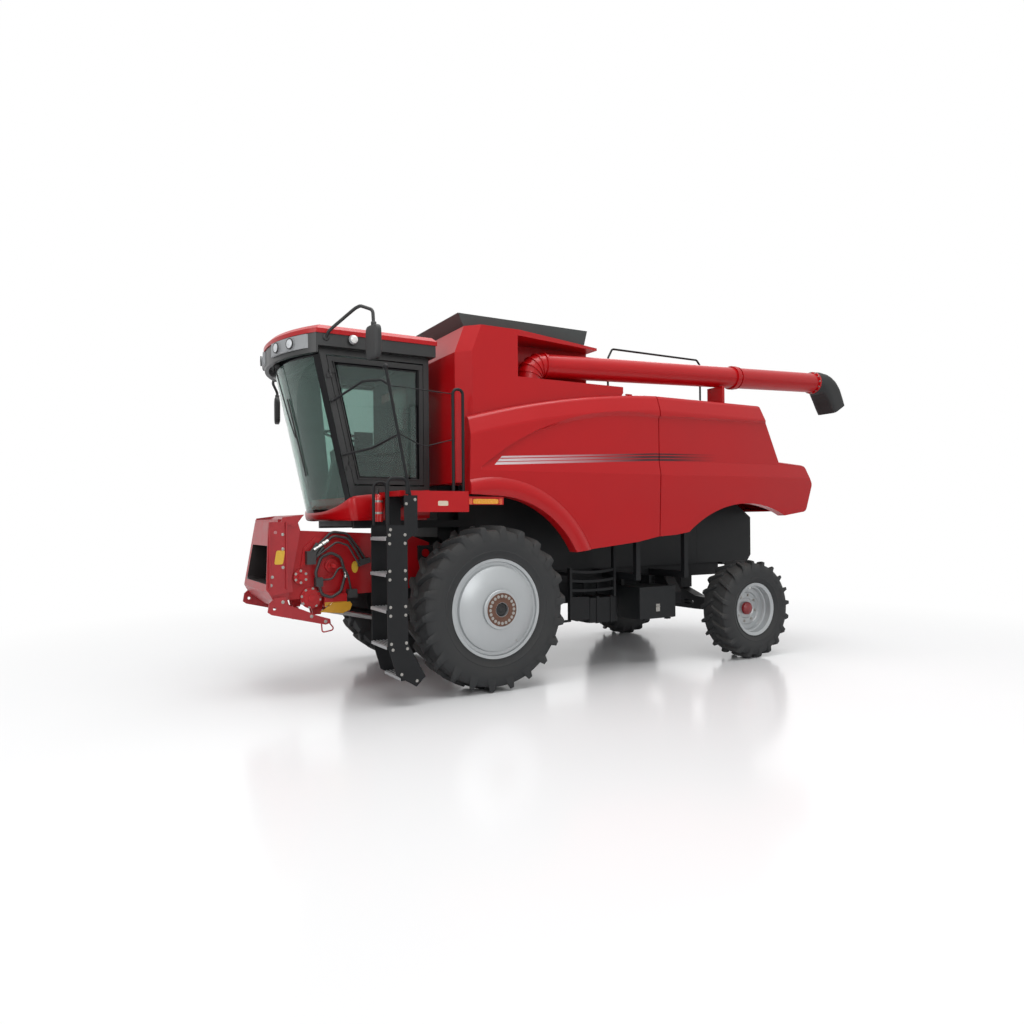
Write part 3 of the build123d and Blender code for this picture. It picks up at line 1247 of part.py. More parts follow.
with BuildPart() as cab_roof:
    for (low_z, low_inset), (high_z, high_inset) in zip(roof_layers[:-1], roof_layers[1:]):
        for layer_z, inset in ((low_z, low_inset), (high_z, high_inset)):
            half = roof_half_width - inset
            with BuildSketch(Plane.XY.offset(layer_z)):
                with BuildLine():
                    Polyline((half, along(roof_corner_y + inset)), (half, along(roof_rear_y - inset)),
                             (-half, along(roof_rear_y - inset)), (-half, along(roof_corner_y + inset)))
                    ThreePointArc((-half, along(roof_corner_y + inset)), (0, along(roof_front_y + inset)),
                                  (half, along(roof_corner_y + inset)))
                make_face()
        loft(ruled=True)
save(cab_roof.part, "cab_roof")

# Cab inside: seat, steering column and the side console
with BuildPart() as seat_base:
    with Locations((0, along(-880), cab_floor_z + 190)):
        Box(420, 420, 380)
save(seat_base.part, "seat_base")
with BuildPart() as seat:
    with Locations((0, along(-890), cab_floor_z + 380 + 60.3)):
        Box(500, 500, 120)
    with Locations((0, along(-665), cab_floor_z + 380 + 120.6 + 300)):
        Box(480, 110, 600)
save(seat.part, "seat")
with BuildPart() as steering_column:
    column_plane = Plane(origin=(0, along(-1330), cab_floor_z), x_dir=(1, 0, 0), z_dir=(0, 0.22, 1))
    with BuildSketch(column_plane.offset(30)):
        Rectangle(110, 90)
    extrude(amount=670)
    with BuildSketch(column_plane.offset(700)):
        Circle(200)
        Circle(178, mode=Mode.SUBTRACT)
        Rectangle(370, 40)
    extrude(amount=24)
    with Locations((0, along(-1322), cab_floor_z + 25)):
        Box(150, 130, 50)
save(steering_column.part, "steering_column")
with BuildPart() as control_console:
    with BuildSketch(side_plane(-430)):
        with BuildLine():
            Polyline((along(-1120), cab_floor_z), (along(-1180), cab_floor_z + 560), (along(-1080), cab_floor_z + 640),
                     (along(-600), cab_floor_z + 600), (along(-560), cab_floor_z), close=True)
        make_face()
    extrude(amount=150)
save(control_console.part, "control_console")

# Mirrors: bent arms from the roof corners with their heads
mirror_x = 1330.0
for name, sx in sides:
    head_z = 3395 if sx > 0 else 3110
    head_y = -1310 if sx > 0 else -1560
    with BuildPart() as mirror_unit:
        with BuildLine():
            if sx > 0:
                arm = FilletPolyline((roof_half_width - 12, along(-1600), 3500), (sx * 930, along(-1600), 3500),
                                     (sx * 1190, along(-1400), 3780), (sx * (mirror_x - 20), along(head_y), 3660),
                                     (sx * (mirror_x - 20), along(head_y), head_z + 100), radius=40)
            else:
                arm = FilletPolyline((-roof_half_width + 12, along(-1660), 3500), (-930, along(-1660), 3500),
                                     (-1200, along(-1640), 3420), (-mirror_x + 20, along(head_y), 3330),
                                     (-mirror_x + 20, along(head_y), head_z + 100), radius=40)
        with BuildSketch(Plane(origin=arm @ 0, z_dir=arm % 0)):
            Circle(14)
        sweep()
        with Locations(Location((sx * mirror_x, along(head_y), head_z), (0, 0, sx * 12))):
            Box(190, 70, 310)
    save(mirror_unit.part, "mirror_" + name)

# Work lamps: a moulded pod on each front corner of the visor with two round lamps, and one lamp on the visor side
pod_low_x = 190.0
pod_high_x = 740.0
lamp_radius = 52.0


def brow_y(x, stand_out):
    """Place of the visor's curved front at a distance x from the middle, moved forward by stand_out."""
    return roof_front_y + 12 - stand_out + (x / roof_half_width) ** 2 * (roof_corner_y - roof_front_y)


with BuildPart() as work_lamps:
    for _, sx in sides:
        with BuildSketch(Plane.XY.offset(pod_low_z)):
            with BuildLine():
                front = ThreePointArc((sx * pod_low_x, along(brow_y(pod_low_x, pod_stand_out))),
                                      (sx * 450, along(brow_y(450, pod_stand_out))),
                                      (sx * pod_high_x, along(brow_y(pod_high_x, pod_stand_out))))
                Polyline(front @ 1, (sx * (pod_high_x + 30), along(brow_y(pod_high_x, -pod_depth))),
                         (sx * (pod_low_x - 40), along(brow_y(pod_low_x, -pod_depth))), front @ 0)
            make_face()
            with BuildLine():
                half = roof_half_width - 12
                visor_front = ThreePointArc((-half, along(roof_corner_y)), (0, along(roof_front_y + 12)),
                                            (half, along(roof_corner_y)))
                Line(visor_front @ 1, visor_front @ 0)
            make_face(mode=Mode.SUBTRACT)
        extrude(amount=pod_high_z - pod_low_z)
        for lamp_x in (330, 560):
            turn = 2 * lamp_x / roof_half_width ** 2 * (roof_corner_y - roof_front_y)
            lamp_plane = Plane(origin=(sx * lamp_x, along(brow_y(lamp_x, pod_stand_out)), (pod_low_z + pod_high_z) / 2),
                               x_dir=(1, sx * turn, 0), z_dir=(sx * turn, -1, 0))
            for start, length, radius in ((-16, 30, lamp_radius), (-16, 38, lamp_radius - 9)):
                with BuildSketch(lamp_plane.offset(start)):
                    Circle(radius)
                extrude(amount=length)
        side_lamp = Plane(origin=(sx * (roof_half_width - 12), along(-1336), roof_bottom_z - 42), x_dir=(0, 1, 0),
                          z_dir=(sx, 0, 0))
        with BuildSketch(side_lamp):
            Circle(22)
        extrude(amount=30)
        with BuildSketch(side_lamp.offset(30)):
            Circle(46)
        with BuildSketch(side_lamp.offset(58)):
            Circle(38)
        loft(ruled=True)
save(work_lamps.part, "work_lamps")

# Platform: floor plate with its red edge beam and the marker lamp bar behind
with BuildPart() as platform:
    with Locations(((cab_half_width + 4 + platform_x) / 2, along((platform_front_y + platform_rear_y) / 2),
                    platform_z - 25)):
        Box(platform_x - cab_half_width - 4, platform_rear_y - platform_front_y, 50)
    with Locations((platform_x - 20, along((platform_front_y + platform_rear_y) / 2 + 90),
                    platform_z - platform_beam_height / 2)):
        Box(40, platform_rear_y - platform_front_y - 180, platform_beam_height)
    with Locations((platform_x - 30, along(platform_rear_y + 190), 1938)):
        Box(60, 420, 80)
save(platform.part, "platform")

# Ladder: two plates with treads, swung rearward at the foot
ladder_profile = (
    # distance behind the front axle, height
    (-1215, 1700), (-1040, 1700), (-1040, 1980), (-905, 1980), (-905, 1640), (-1010, 1560), (-1010, 590),
    (-835, 270), (-930, 180), (-1130, 300), (-1215, 590),
)
tread_depth = 200.0
with BuildPart() as ladder:
    for plate_x in (ladder_inner_x, ladder_outer_x - ladder_plate):
        with BuildSketch(side_plane(plate_x)):
            with BuildLine():
                Polyline(*[(along(y), z) for y, z in ladder_profile], close=True)
            make_face()
        extrude(amount=ladder_plate)
    for tread_y, tread_z in ((-1120, 1570), (-1125, 1235), (-1125, 900), (-1120, 565), (-985, 262)):
        with Locations(((ladder_inner_x + ladder_outer_x) / 2, along(tread_y), tread_z)):
            Box(ladder_outer_x - ladder_inner_x - 10, tread_depth, 28)
            Box(ladder_outer_x - ladder_inner_x - 2 * ladder_plate, tread_depth - 12, 30, mode=Mode.SUBTRACT)
        with BuildSketch(Plane.XY.offset(tread_z + 8)):
            with Locations(((ladder_inner_x + ladder_outer_x) / 2, along(tread_y))):
                Rectangle(ladder_outer_x - ladder_inner_x - 10, tread_depth - 6)
                with GridLocations(185, 34, 2, 5):
                    SlotOverall(150, 16, mode=Mode.SUBTRACT)
        extrude(amount=6)
save(ladder.part, "ladder")

# Guard rails: hoops on the ladder, the tall post with its bars and the rear hoop
post_top = (1380, -1205, 3170)
post_foot = (1380, -905, 1650)
tube_runs = (
    # points along each tube, bend radius, tube radius
    (((ladder_inner_x + 25, -1195, 1700), (ladder_inner_x + 25, -1195, 2120), (ladder_inner_x + 25, -1060, 2120),
      (ladder_inner_x + 25, -1060, 1700)), 60, rail_tube),
    (((ladder_outer_x - 25, -1195, 1700), (ladder_outer_x - 25, -1195, 2140), (ladder_outer_x - 25, -1000, 2140),
      (ladder_outer_x - 25, -1000, 1990)), 60, rail_tube),
    ((post_foot, post_top), 0, rail_tube),
    (((cab_half_width, -1518, 2924), (820, -1518, 2924), (1100, -1330, 3071), (1330, -1225, 3054),
      (1380, -1158, 2993)), 40, 12),
    (((cab_half_width, -1405, 2400), (820, -1405, 2400), (1100, -1240, 2440), (1380, -1083, 2550)), 60, 12),
    (((1270, -455, 2030), (1270, -455, 3040), (1270, -345, 3040), (1270, -345, 2030)), 50, rail_tube),
    (((1380, -1171, 3000), (1270, -455, 2990)), 0, 5),
    (((1380, -1085, 2560), (1325, -800, 2450), (1270, -455, 2540)), 200, 5),
    (((820, 1842, hood_top_z), (820, 1842, 3657), (820, 1911, 3778), (820, 3283, 3779), (820, 3339, 3717),
      (820, 3339, hood_top_z)), 40, 12),
)
with BuildPart() as guard_rails:
    for points, bend, tube in tube_runs:
        with BuildLine():
            if bend > 0:
                run = FilletPolyline(*[(x, along(y), z) for x, y, z in points], radius=bend)
            else:
                run = Line(*[(x, along(y), z) for x, y, z in points])
        with BuildSketch(Plane(origin=run @ 0, z_dir=run % 0)):
            Circle(tube)
        sweep()
    with Locations((post_top[0], along(post_top[1]), post_top[2])):
        Sphere(28)
save(guard_rails.part, "guard_rails")

# Unloading auger: turntable, a ribbed elbow bent from it and the long tube
rise_cos = math.cos(math.radians(auger_rise))
rise_sin = math.sin(math.radians(auger_rise))
auger_start_y = along(auger_y) - elbow_radius * (rise_cos + rise_sin - 1)
auger_plane = Plane(origin=(auger_x, auger_start_y, auger_z), x_dir=(1, 0, 0), z_dir=(0, rise_cos, rise_sin))
elbow_turn = 90 - auger_rise
elbow_centre = Vector(auger_x, along(auger_y) + elbow_radius, auger_z - elbow_radius * (rise_cos - rise_sin))
with BuildPart() as unload_auger:
    with BuildSketch(Plane.XY.offset(auger_recess_floor_z + fit_gap)):
        with Locations((auger_x, along(auger_y))):
            Circle(auger_radius)
    extrude(amount=elbow_centre.Z - auger_recess_floor_z - fit_gap)
    for step in range(elbow_rings + 2):
        angle = math.radians(180 - elbow_turn * step / (elbow_rings + 1))
        ring_centre = elbow_centre + Vector(0, elbow_radius * math.cos(angle), elbow_radius * math.sin(angle))
        ring_plane = Plane(origin=ring_centre, x_dir=(1, 0, 0), z_dir=(0, math.sin(angle), -math.cos(angle)))
        if 0 < step < elbow_rings + 1:
            with BuildSketch(ring_plane.offset(-elbow_ring_width / 2)):
                Circle(auger_radius + elbow_ring_height)
            extrude(amount=elbow_ring_width)
        if step < elbow_rings + 1:
            next_angle = math.radians(180 - elbow_turn * (step + 1) / (elbow_rings + 1))
            next_centre = elbow_centre + Vector(0, elbow_radius * math.cos(next_angle),
                                                elbow_radius * math.sin(next_angle))
            with BuildSketch(ring_plane):
                Circle(auger_radius)
            with BuildSketch(Plane(origin=next_centre, x_dir=(1, 0, 0),
                                   z_dir=(0, math.sin(next_angle), -math.cos(next_angle)))):
                Circle(auger_radius)
            loft(ruled=True)
    with BuildSketch(auger_plane.offset(elbow_radius)):
        Circle(auger_radius)
    extrude(amount=auger_length - elbow_radius)
    for collar, collar_length, collar_height in ((elbow_radius + 8, 26, 14), (auger_collar, 60, 18),
                                                 (auger_collar + 90, 12, 12), (auger_length - 30, 30, 18)):
        with BuildSketch(auger_plane.offset(collar)):
            Circle(auger_radius + collar_height)
        extrude(amount=collar_length)
    with BuildSketch(auger_plane.offset(elbow_radius + 60)):
        Circle(auger_radius - auger_wall)
    extrude(amount=auger_length, mode=Mode.SUBTRACT)
save(unload_auger.part, "unload_auger")

# Spout boot at the tube's end
with BuildPart() as auger_boot:
    boot_plane = auger_plane.offset(auger_length)
    with BuildSketch(boot_plane):
        Rectangle(2 * auger_radius + 40, 2 * auger_radius + 40)
    with BuildSketch(Plane(origin=boot_plane.origin + Vector(0, 430, -330), x_dir=(1, 0, 0),
                           z_dir=(0, 0.75, -0.66))):
        Rectangle(2 * auger_radius + 20, 260)
    loft(ruled=True)
    with BuildSketch(boot_plane):
        Rectangle(2 * auger_radius + 28, 2 * auger_radius + 28)
    with BuildSketch(Plane(origin=boot_plane.origin + Vector(0, 432, -332), x_dir=(1, 0, 0),
                           z_dir=(0, 0.75, -0.66))):
        Rectangle(2 * auger_radius + 8, 248)
    loft(ruled=True, mode=Mode.SUBTRACT)
save(auger_boot.part, "auger_boot")

# Auger cradle: a post with a flat rest under the tube
cradle_y = 3440.0
cradle_depth = 40.0
cradle_axis_z = auger_z + (along(cradle_y - cradle_depth / 2) - auger_start_y) * rise_sin / rise_cos
cradle_top_z = cradle_axis_z - auger_radius / rise_cos - fit_gap
with BuildPart() as auger_cradle:
    with Locations((auger_x - 15, along(cradle_y), (hood_top_z + cradle_top_z) / 2)):
        Box(250, cradle_depth, cradle_top_z - hood_top_z)
save(auger_cradle.part, "auger_cradle")

# Lower side frames: three bowed guard bars, a bolted side plate, the dark tank and the bar beside the wheel
guard_x = 900.0
guard_front_y = 1204.0
guard_rear_y = 1834.0
with BuildPart() as lower_frames:
    for _, sx in sides:
        for bar_z, bow in ((1172, 26), (1062, 20), (950, 12)):
            with BuildSketch(side_plane(sx * guard_x - 20)):
                with BuildLine():
                    Line((along(guard_front_y), bar_z), (along(guard_front_y), bar_z - 30))
                    ThreePointArc((along(guard_front_y), bar_z - 30),
                                  (along((guard_front_y + guard_rear_y) / 2), bar_z - 30 - bow),
                                  (along(guard_rear_y), bar_z - 30))
                    Line((along(guard_rear_y), bar_z - 30), (along(guard_rear_y), bar_z))
                    ThreePointArc((along(guard_rear_y), bar_z),
                                  (along((guard_front_y + guard_rear_y) / 2), bar_z - bow),
                                  (along(guard_front_y), bar_z))
                make_face()
            extrude(amount=40)
        for post_y, post_low_z, post_high_z in ((guard_front_y, 600, 1190), (guard_rear_y, 840, 1500)):
            with Locations((sx * guard_x, along(post_y), (post_low_z + post_high_z) / 2)):
                Box(50, 32, post_high_z - post_low_z)
        with BuildSketch(side_plane(sx * guard_x - 6)):
            with BuildLine():
                Polyline((along(guard_front_y), 860), (along(1470), 846), (along(1470), 590), (along(1300), 575),
                         (along(guard_front_y), 600), close=True)
            make_face()
        extrude(amount=12)
        rail_face_x = rail_x + rail_width / 2
        for tie_y in (guard_front_y, guard_rear_y):
            with Locations((sx * (guard_x + rail_face_x) / 2, along(tie_y), 1120)):
                Box(guard_x - rail_face_x, 32, 40)
        with BuildSketch(Plane.XY.offset(540)):
            with Locations((sx * 760, along(1700))):
                RectangleRounded(270, 440, 60)
        extrude(amount=290)
        for strap_y in (1600, 1800):
            with Locations((sx * 760, along(strap_y), 690)):
                Box(284, 30, 312)
            with Locations((sx * 640, along(strap_y), (840 + rail_bottom_z) / 2)):
                Box(20, 30, rail_bottom_z - 840)
            with Locations((sx * (rail_x + 650) / 2, along(strap_y), rail_bottom_z - 10)):
                Box(650 - rail_x, 30, 20)
        with BuildLine():
            bar = Line((sx * guard_x, along(1210), 590), (sx * guard_x, along(900), 582))
        with BuildSketch(Plane(origin=bar @ 0, z_dir=bar % 0)):
            Circle(14)
        sweep()
        with BuildSketch(cross_plane(along(2750))):
            with BuildLine():
                Polyline((sx * 600, 1030), (sx * 760, 1030), (sx * 900, 836), (sx * 900, 690), (sx * 700, 660),
                         (sx * 600, 790), close=True)
            make_face()
        extrude(amount=-160)
save(lower_frames.part, "lower_frames")

# Tool box with its drop-down door
with BuildPart() as tool_box:
    with Locations((box_x + box_depth / 2, along(box_front_y + box_length / 2), box_low_z + box_height / 2)):
        Box(box_depth, box_length, box_height)
    with Locations((box_x + box_depth / 2 + 10, along(box_front_y + box_length / 2), box_low_z + box_height / 2)):
        Box(box_depth, box_length - 16, box_height - 16, mode=Mode.SUBTRACT)
    with Locations((610, along(box_front_y + 60), 985), (610, along(box_front_y + 500), 985)):
        Box(180, 40, 110)
    for place in box_hinge_places:
        for ear_y in (place - 30, place + 15):
            with BuildSketch(cross_plane(along(box_front_y + ear_y))):
                with Locations((box_hinge_x, box_hinge_z)):
                    Circle(8)
                with Locations((box_hinge_x - 20, box_hinge_z)):
                    Rectangle(40, 16)
            extrude(amount=-15)
        with BuildSketch(cross_plane(along(box_front_y + place - 30))):
            with Locations((box_hinge_x, box_hinge_z)):
                Circle(5)
        extrude(amount=-60)
save(tool_box.part, "tool_box")
with BuildPart() as tool_box_door:
    with Locations((box_hinge_x, along(box_front_y + box_length / 2), box_low_z + 5 + (box_height - 5) / 2)):
        Box(10, box_length, box_height - 5)
    for place in box_hinge_places:
        with BuildSketch(cross_plane(along(box_front_y + place - 10))):
            with Locations((box_hinge_x, box_hinge_z)):
                Circle(8)
            with Locations((box_hinge_x, (box_hinge_z + box_low_z + 10) / 2)):
                Rectangle(10, box_low_z + 10 - box_hinge_z)
            with Locations((box_hinge_x, box_hinge_z)):
                Circle(5 + bearing_gap, mode=Mode.SUBTRACT)
        extrude(amount=-20)
save(tool_box_door.part, "tool_box_door")
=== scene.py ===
import bpy
import bmesh
import math
import numpy as np
from mathutils import Matrix, Vector


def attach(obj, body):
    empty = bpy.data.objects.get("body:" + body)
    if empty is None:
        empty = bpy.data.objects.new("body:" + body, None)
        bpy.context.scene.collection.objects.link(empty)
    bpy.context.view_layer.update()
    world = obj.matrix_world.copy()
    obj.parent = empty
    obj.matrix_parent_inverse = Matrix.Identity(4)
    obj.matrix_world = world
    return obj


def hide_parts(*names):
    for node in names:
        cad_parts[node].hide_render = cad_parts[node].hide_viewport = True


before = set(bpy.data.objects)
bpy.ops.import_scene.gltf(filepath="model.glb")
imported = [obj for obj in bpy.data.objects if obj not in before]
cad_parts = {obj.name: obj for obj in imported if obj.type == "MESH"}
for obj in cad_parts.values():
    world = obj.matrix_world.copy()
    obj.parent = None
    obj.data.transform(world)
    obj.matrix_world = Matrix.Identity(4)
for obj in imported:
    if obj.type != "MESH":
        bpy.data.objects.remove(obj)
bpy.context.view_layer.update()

# Camera: stands at eye height ahead of the ladder side, level, looking back along the machine.
# Its place is measured from the ground under the front axle.
front_axle_y = -1.846
heading = math.radians(61.466)
pitch = math.radians(0.04)
roll = math.radians(0.51)
camera_data = bpy.data.cameras.new("camera")
camera_data.sensor_width = 36.0
camera_data.lens = 25.792
camera_data.shift_x = 0.0346
camera_data.shift_y = 0.0099
camera_data.clip_end = 200.0
camera = bpy.data.objects.new("camera", camera_data)
bpy.context.scene.collection.objects.link(camera)
camera.matrix_world = (Matrix.Translation((7.742, -3.719 + front_axle_y, 1.7175))
                       @ Matrix.Rotation(heading, 4, "Z")
                       @ Matrix.Rotation(math.pi / 2 + pitch, 4, "X")
                       @ Matrix.Rotation(-roll, 4, "Z"))
bpy.context.scene.camera = camera
bpy.context.scene.view_settings.view_transform = "Standard"

# Studio: a wide pale floor under an even white sky, a broad lamp overhead, and soft lamps over the ladder
# side, ahead of the cab and behind the far side. The eye, glass and gloss see the sky as plain white.
def shade(tree, kind, inputs=(), **settings):
    """Adds a shader node and returns it: first its settings, then its inputs.

    An input takes a number or a colour as it is, and another node's output as a link.
    """
    node = tree.nodes.new("ShaderNode" + kind)
    for setting, value in settings.items():
        setattr(node, setting, value)
    for socket, value in dict(inputs).items():
        if isinstance(value, bpy.types.NodeSocket):
            tree.links.new(value, node.inputs[socket])
        else:
            node.inputs[socket].default_value = value
    return node


white = (1.0, 1.0, 1.0, 1.0)
world = bpy.data.worlds.new("studio")
bpy.context.scene.world = world
world.use_nodes = True
sky = world.node_tree
sky.nodes.clear()
ray = shade(sky, "LightPath").outputs
seen = shade(sky, "Math", {0: ray["Is Camera Ray"], 1: ray["Is Transmission Ray"]}, operation="MAXIMUM")
direct = shade(sky, "Math", {0: seen.outputs[0], 1: ray["Is Glossy Ray"]}, operation="MAXIMUM")
studio_light = shade(sky, "Background", {"Color": (0.93, 0.96, 1.0, 1.0), "Strength": 0.30})
backdrop = shade(sky, "Background", {"Color": white, "Strength": 1.0})
sky_mix = shade(sky, "MixShader", {"Fac": direct.outputs[0], 1: studio_light.outputs[0], 2: backdrop.outputs[0]})
shade(sky, "OutputWorld", {"Surface": sky_mix.outputs[0]})

lamps = (
    # name, place, aim, size, power
    ("sky_lamp", (2.0, -1.0, 13.0), (0.0, 0.0, 2.0), 11.0, 1500.0),
    ("side_lamp", (11.0, -4.5, 6.0), (0.5, 0.5, 1.5), 6.0, 330.0),
    ("front_lamp", (2.0, -12.0, 5.0), (0.0, -2.0, 1.8), 5.0, 200.0),
    ("rear_lamp", (-8.0, 8.0, 8.0), (0.0, 1.0, 2.0), 6.0, 260.0),
)
for lamp_name, place, aim, size, power in lamps:
    lamp_data = bpy.data.lights.new(lamp_name, "AREA")
    lamp_data.size = size
    lamp_data.energy = power
    lamp = bpy.data.objects.new(lamp_name, lamp_data)
    bpy.context.scene.collection.objects.link(lamp)
    lamp.location = place
    lamp.rotation_euler = (Vector(aim) - Vector(place)).to_track_quat("-Z", "Y").to_euler()

floor_mesh = bpy.data.meshes.new("floor")
floor_mesh.from_pydata([(-60, -60, 0), (60, -60, 0), (60, 60, 0), (-60, 60, 0)], [], [(0, 1, 2, 3)])
floor = bpy.data.objects.new("floor", floor_mesh)
bpy.context.scene.collection.objects.link(floor)
floor_paint = bpy.data.materials.new("floor")
floor_paint.use_nodes = True
floor_tree = floor_paint.node_tree
floor_shader = floor_tree.nodes["Principled BSDF"]
floor_shader.inputs["Base Color"].default_value = (0.88, 0.88, 0.88, 1.0)
floor_shader.inputs["Roughness"].default_value = 0.16
floor_shader.inputs["Specular IOR Level"].default_value = 0.42
# The floor passes into the white backdrop with its distance from the machine
white_from, white_at = 3.2, 9.5
floor_place = shade(floor_tree, "TexCoord")
floor_reach = shade(floor_tree, "VectorMath", {0: floor_place.outputs["Object"]}, operation="LENGTH")
floor_blend = shade(floor_tree, "MapRange", {"From Min": white_from, "From Max": white_at,
                                             "Value": floor_reach.outputs["Value"]}, interpolation_type="SMOOTHSTEP")
floor_ray = shade(floor_tree, "LightPath")
floor_seen = shade(floor_tree, "Math", {0: floor_blend.outputs["Result"], 1: floor_ray.outputs["Is Camera Ray"]},
                   operation="MULTIPLY")
floor_glow = shade(floor_tree, "Emission", {"Color": white})
floor_mix = shade(floor_tree, "MixShader", {"Fac": floor_seen.outputs[0], 1: floor_shader.outputs[0],
                                            2: floor_glow.outputs[0]})
floor_tree.links.new(floor_mix.outputs[0], floor_tree.nodes["Material Output"].inputs["Surface"])
floor_mesh.materials.append(floor_paint)

# Tyres: black rubber bar-tread tyres, moulded in one with the lugs, each lug a raised bar that runs
# from the middle of the tread out over the shoulder. The rear pair is fitted to run the other way.
def skin(name, points, wrap_rows=False, wrap_columns=False, sharp=False):
    """Surface over a grid of points (rows, columns, 3): each four neighbouring points make one quad.

    With wrap_rows the last row joins the first, with wrap_columns the last column joins the first.
    """
    points = np.asarray(points, dtype=float)
    rows, columns = points.shape[-3], points.shape[-2]
    patches = points.reshape(-1, rows, columns, 3)
    i, j = np.meshgrid(np.arange(rows - (not wrap_rows)), np.arange(columns - (not wrap_columns)), indexing="ij")
    below, beside = (i + 1) % rows, (j + 1) % columns
    quads = np.stack([i * columns + j, below * columns + j, below * columns + beside, i * columns + beside], axis=-1)
    quads = quads.reshape(1, -1, 4) + (np.arange(len(patches)) * rows * columns).reshape(-1, 1, 1)
    return solid_from(name, patches.reshape(-1, 3), quads.reshape(-1, 4), sharp)


def solid_from(name, vertices, faces, sharp=False):
    """Mesh object from an array of vertices and an array of faces that all have as many corners."""
    faces = np.asarray(faces)
    mesh = bpy.data.meshes.new(name)
    mesh.vertices.add(len(vertices))
    mesh.vertices.foreach_set("co", np.asarray(vertices, dtype=np.float32).ravel())
    mesh.loops.add(faces.size)
    mesh.loops.foreach_set("vertex_index", faces.astype(np.int32).ravel())
    mesh.polygons.add(len(faces))
    mesh.polygons.foreach_set("loop_start", np.arange(len(faces), dtype=np.int32) * faces.shape[1])
    mesh.update(calc_edges=True)
    mesh.validate()
    mesh.polygons.foreach_set("use_smooth", np.full(len(mesh.polygons), not sharp))
    piece = bpy.data.objects.new(name, mesh)
    bpy.context.scene.collection.objects.link(piece)
    return piece


def outward(piece, merge=0.00002):
    """Merges doubled points and turns every face of a closed shape to point outwards."""
    shape = bmesh.new()
    shape.from_mesh(piece.data)
    bmesh.ops.remove_doubles(shape, verts=shape.verts, dist=merge)
    bmesh.ops.dissolve_degenerate(shape, edges=shape.edges, dist=merge / 2)
    bmesh.ops.recalc_face_normals(shape, faces=shape.faces)
    shape.to_mesh(piece.data)
    shape.free()
    return piece


def crisp(piece, degrees=32):
    """Keeps shading smooth over gentle curves and sharp over edges steeper than this angle."""
    piece.data.set_sharp_from_angle(angle=math.radians(degrees))
    return piece


def finish(name, colour, roughness, metallic=0.0, coat=0.0, grain=0.0, grain_scale=400.0, dust=0.0,
           mottle=0.12, mottle_scale=6.0, dust_colour=(0.33, 0.27, 0.20)):
    """Material whose colour and gloss wander a little with two sizes of noise in object space.

    dust adds a pale film that is thicker on faces that look up and in patches of the large noise.
    """
    material = bpy.data.materials.new(name)
    material.use_nodes = True
    tree = material.node_tree
    shader = tree.nodes["Principled BSDF"]
    shader.inputs["Metallic"].default_value = metallic
    shader.inputs["Coat Weight"].default_value = coat
    shader.inputs["Coat Roughness"].default_value = 0.08
    place = shade(tree, "TexCoord").outputs["Object"]
    wander = shade(tree, "TexNoise", {"Scale": mottle_scale, "Detail": 6.0, "Vector": place}).outputs["Fac"]
    dark, light = ((*[min(1.0, c * level) for c in colour], 1.0) for level in (1 - mottle, 1 + mottle))
    tone = shade(tree, "Mix", {"Factor": wander, "A": dark, "B": light}, data_type="RGBA").outputs["Result"]
    gloss = shade(tree, "MapRange", {"Value": wander, "To Min": max(0.02, roughness - 0.07),
                                     "To Max": min(1.0, roughness + 0.10)})
    tree.links.new(gloss.outputs["Result"], shader.inputs["Roughness"])
    if dust > 0:
        facing = shade(tree, "NewGeometry").outputs["Normal"]
        upward = shade(tree, "MapRange", {"Value": shade(tree, "SeparateXYZ", {"Vector": facing}).outputs["Z"],
                                          "From Min": -0.2, "From Max": 1.0, "To Min": dust * 0.25, "To Max": dust})
        patches = shade(tree, "Math", {0: upward.outputs["Result"], 1: wander}, operation="MULTIPLY")
        tone = shade(tree, "Mix", {"Factor": patches.outputs[0], "A": tone, "B": (*dust_colour, 1.0)},
                     data_type="RGBA").outputs["Result"]
    tree.links.new(tone, shader.inputs["Base Color"])
    if grain > 0:
        fine = shade(tree, "TexNoise", {"Scale": grain_scale, "Detail": 3.0, "Vector": place})
        bump = shade(tree, "Bump", {"Strength": grain, "Distance": 0.001, "Height": fine.outputs["Fac"]})
        tree.links.new(bump.outputs["Normal"], shader.inputs["Normal"])
    return material


def turned(name, profile, place, steps=96, wrap=False, sharp=False, facing=(1.0, 0.0, 0.0)):
    """Shape turned about an axle that points along facing.

    A point is place + facing * x + radius * (u * sin(angle) + v * cos(angle)) for each (x, radius) of
    the profile, where u and v stand square to the axle.
    """
    profile = np.asarray(profile, dtype=float)
    ahead = np.asarray(facing, dtype=float) / np.linalg.norm(facing)
    v = np.array((0.0, 0.0, 1.0)) if abs(ahead[2]) < 0.9 else np.array((1.0, 0.0, 0.0))
    u = np.cross(v, ahead)
    u /= np.linalg.norm(u)
    v = np.cross(ahead, u)
    angle = np.linspace(0, 2 * math.pi, steps, endpoint=False)[:, None, None]
    around = u * np.sin(angle) + v * np.cos(angle)
    points = ahead * profile[None, :, :1] + around * profile[None, :, 1:]
    return skin(name, points + np.asarray(place), wrap_rows=True, wrap_columns=wrap, sharp=sharp)


def joined(name, pieces):
    """One object from several, their materials kept."""
    bpy.ops.object.select_all(action="DESELECT")
    for part in pieces:
        part.select_set(True)
    bpy.context.view_layer.objects.active = pieces[0]
    bpy.ops.object.join()
    pieces[0].name = name
    pieces[0].data.name = name
    return pieces[0]


def fit(piece, body, material, part=None):
    """Gives a piece its one material, the body it rides on and the model part it stands for."""
    outward(piece)
    piece.data.materials.clear()
    piece.data.materials.append(material)
    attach(piece, body)
    if part:
        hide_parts(part)
    return piece


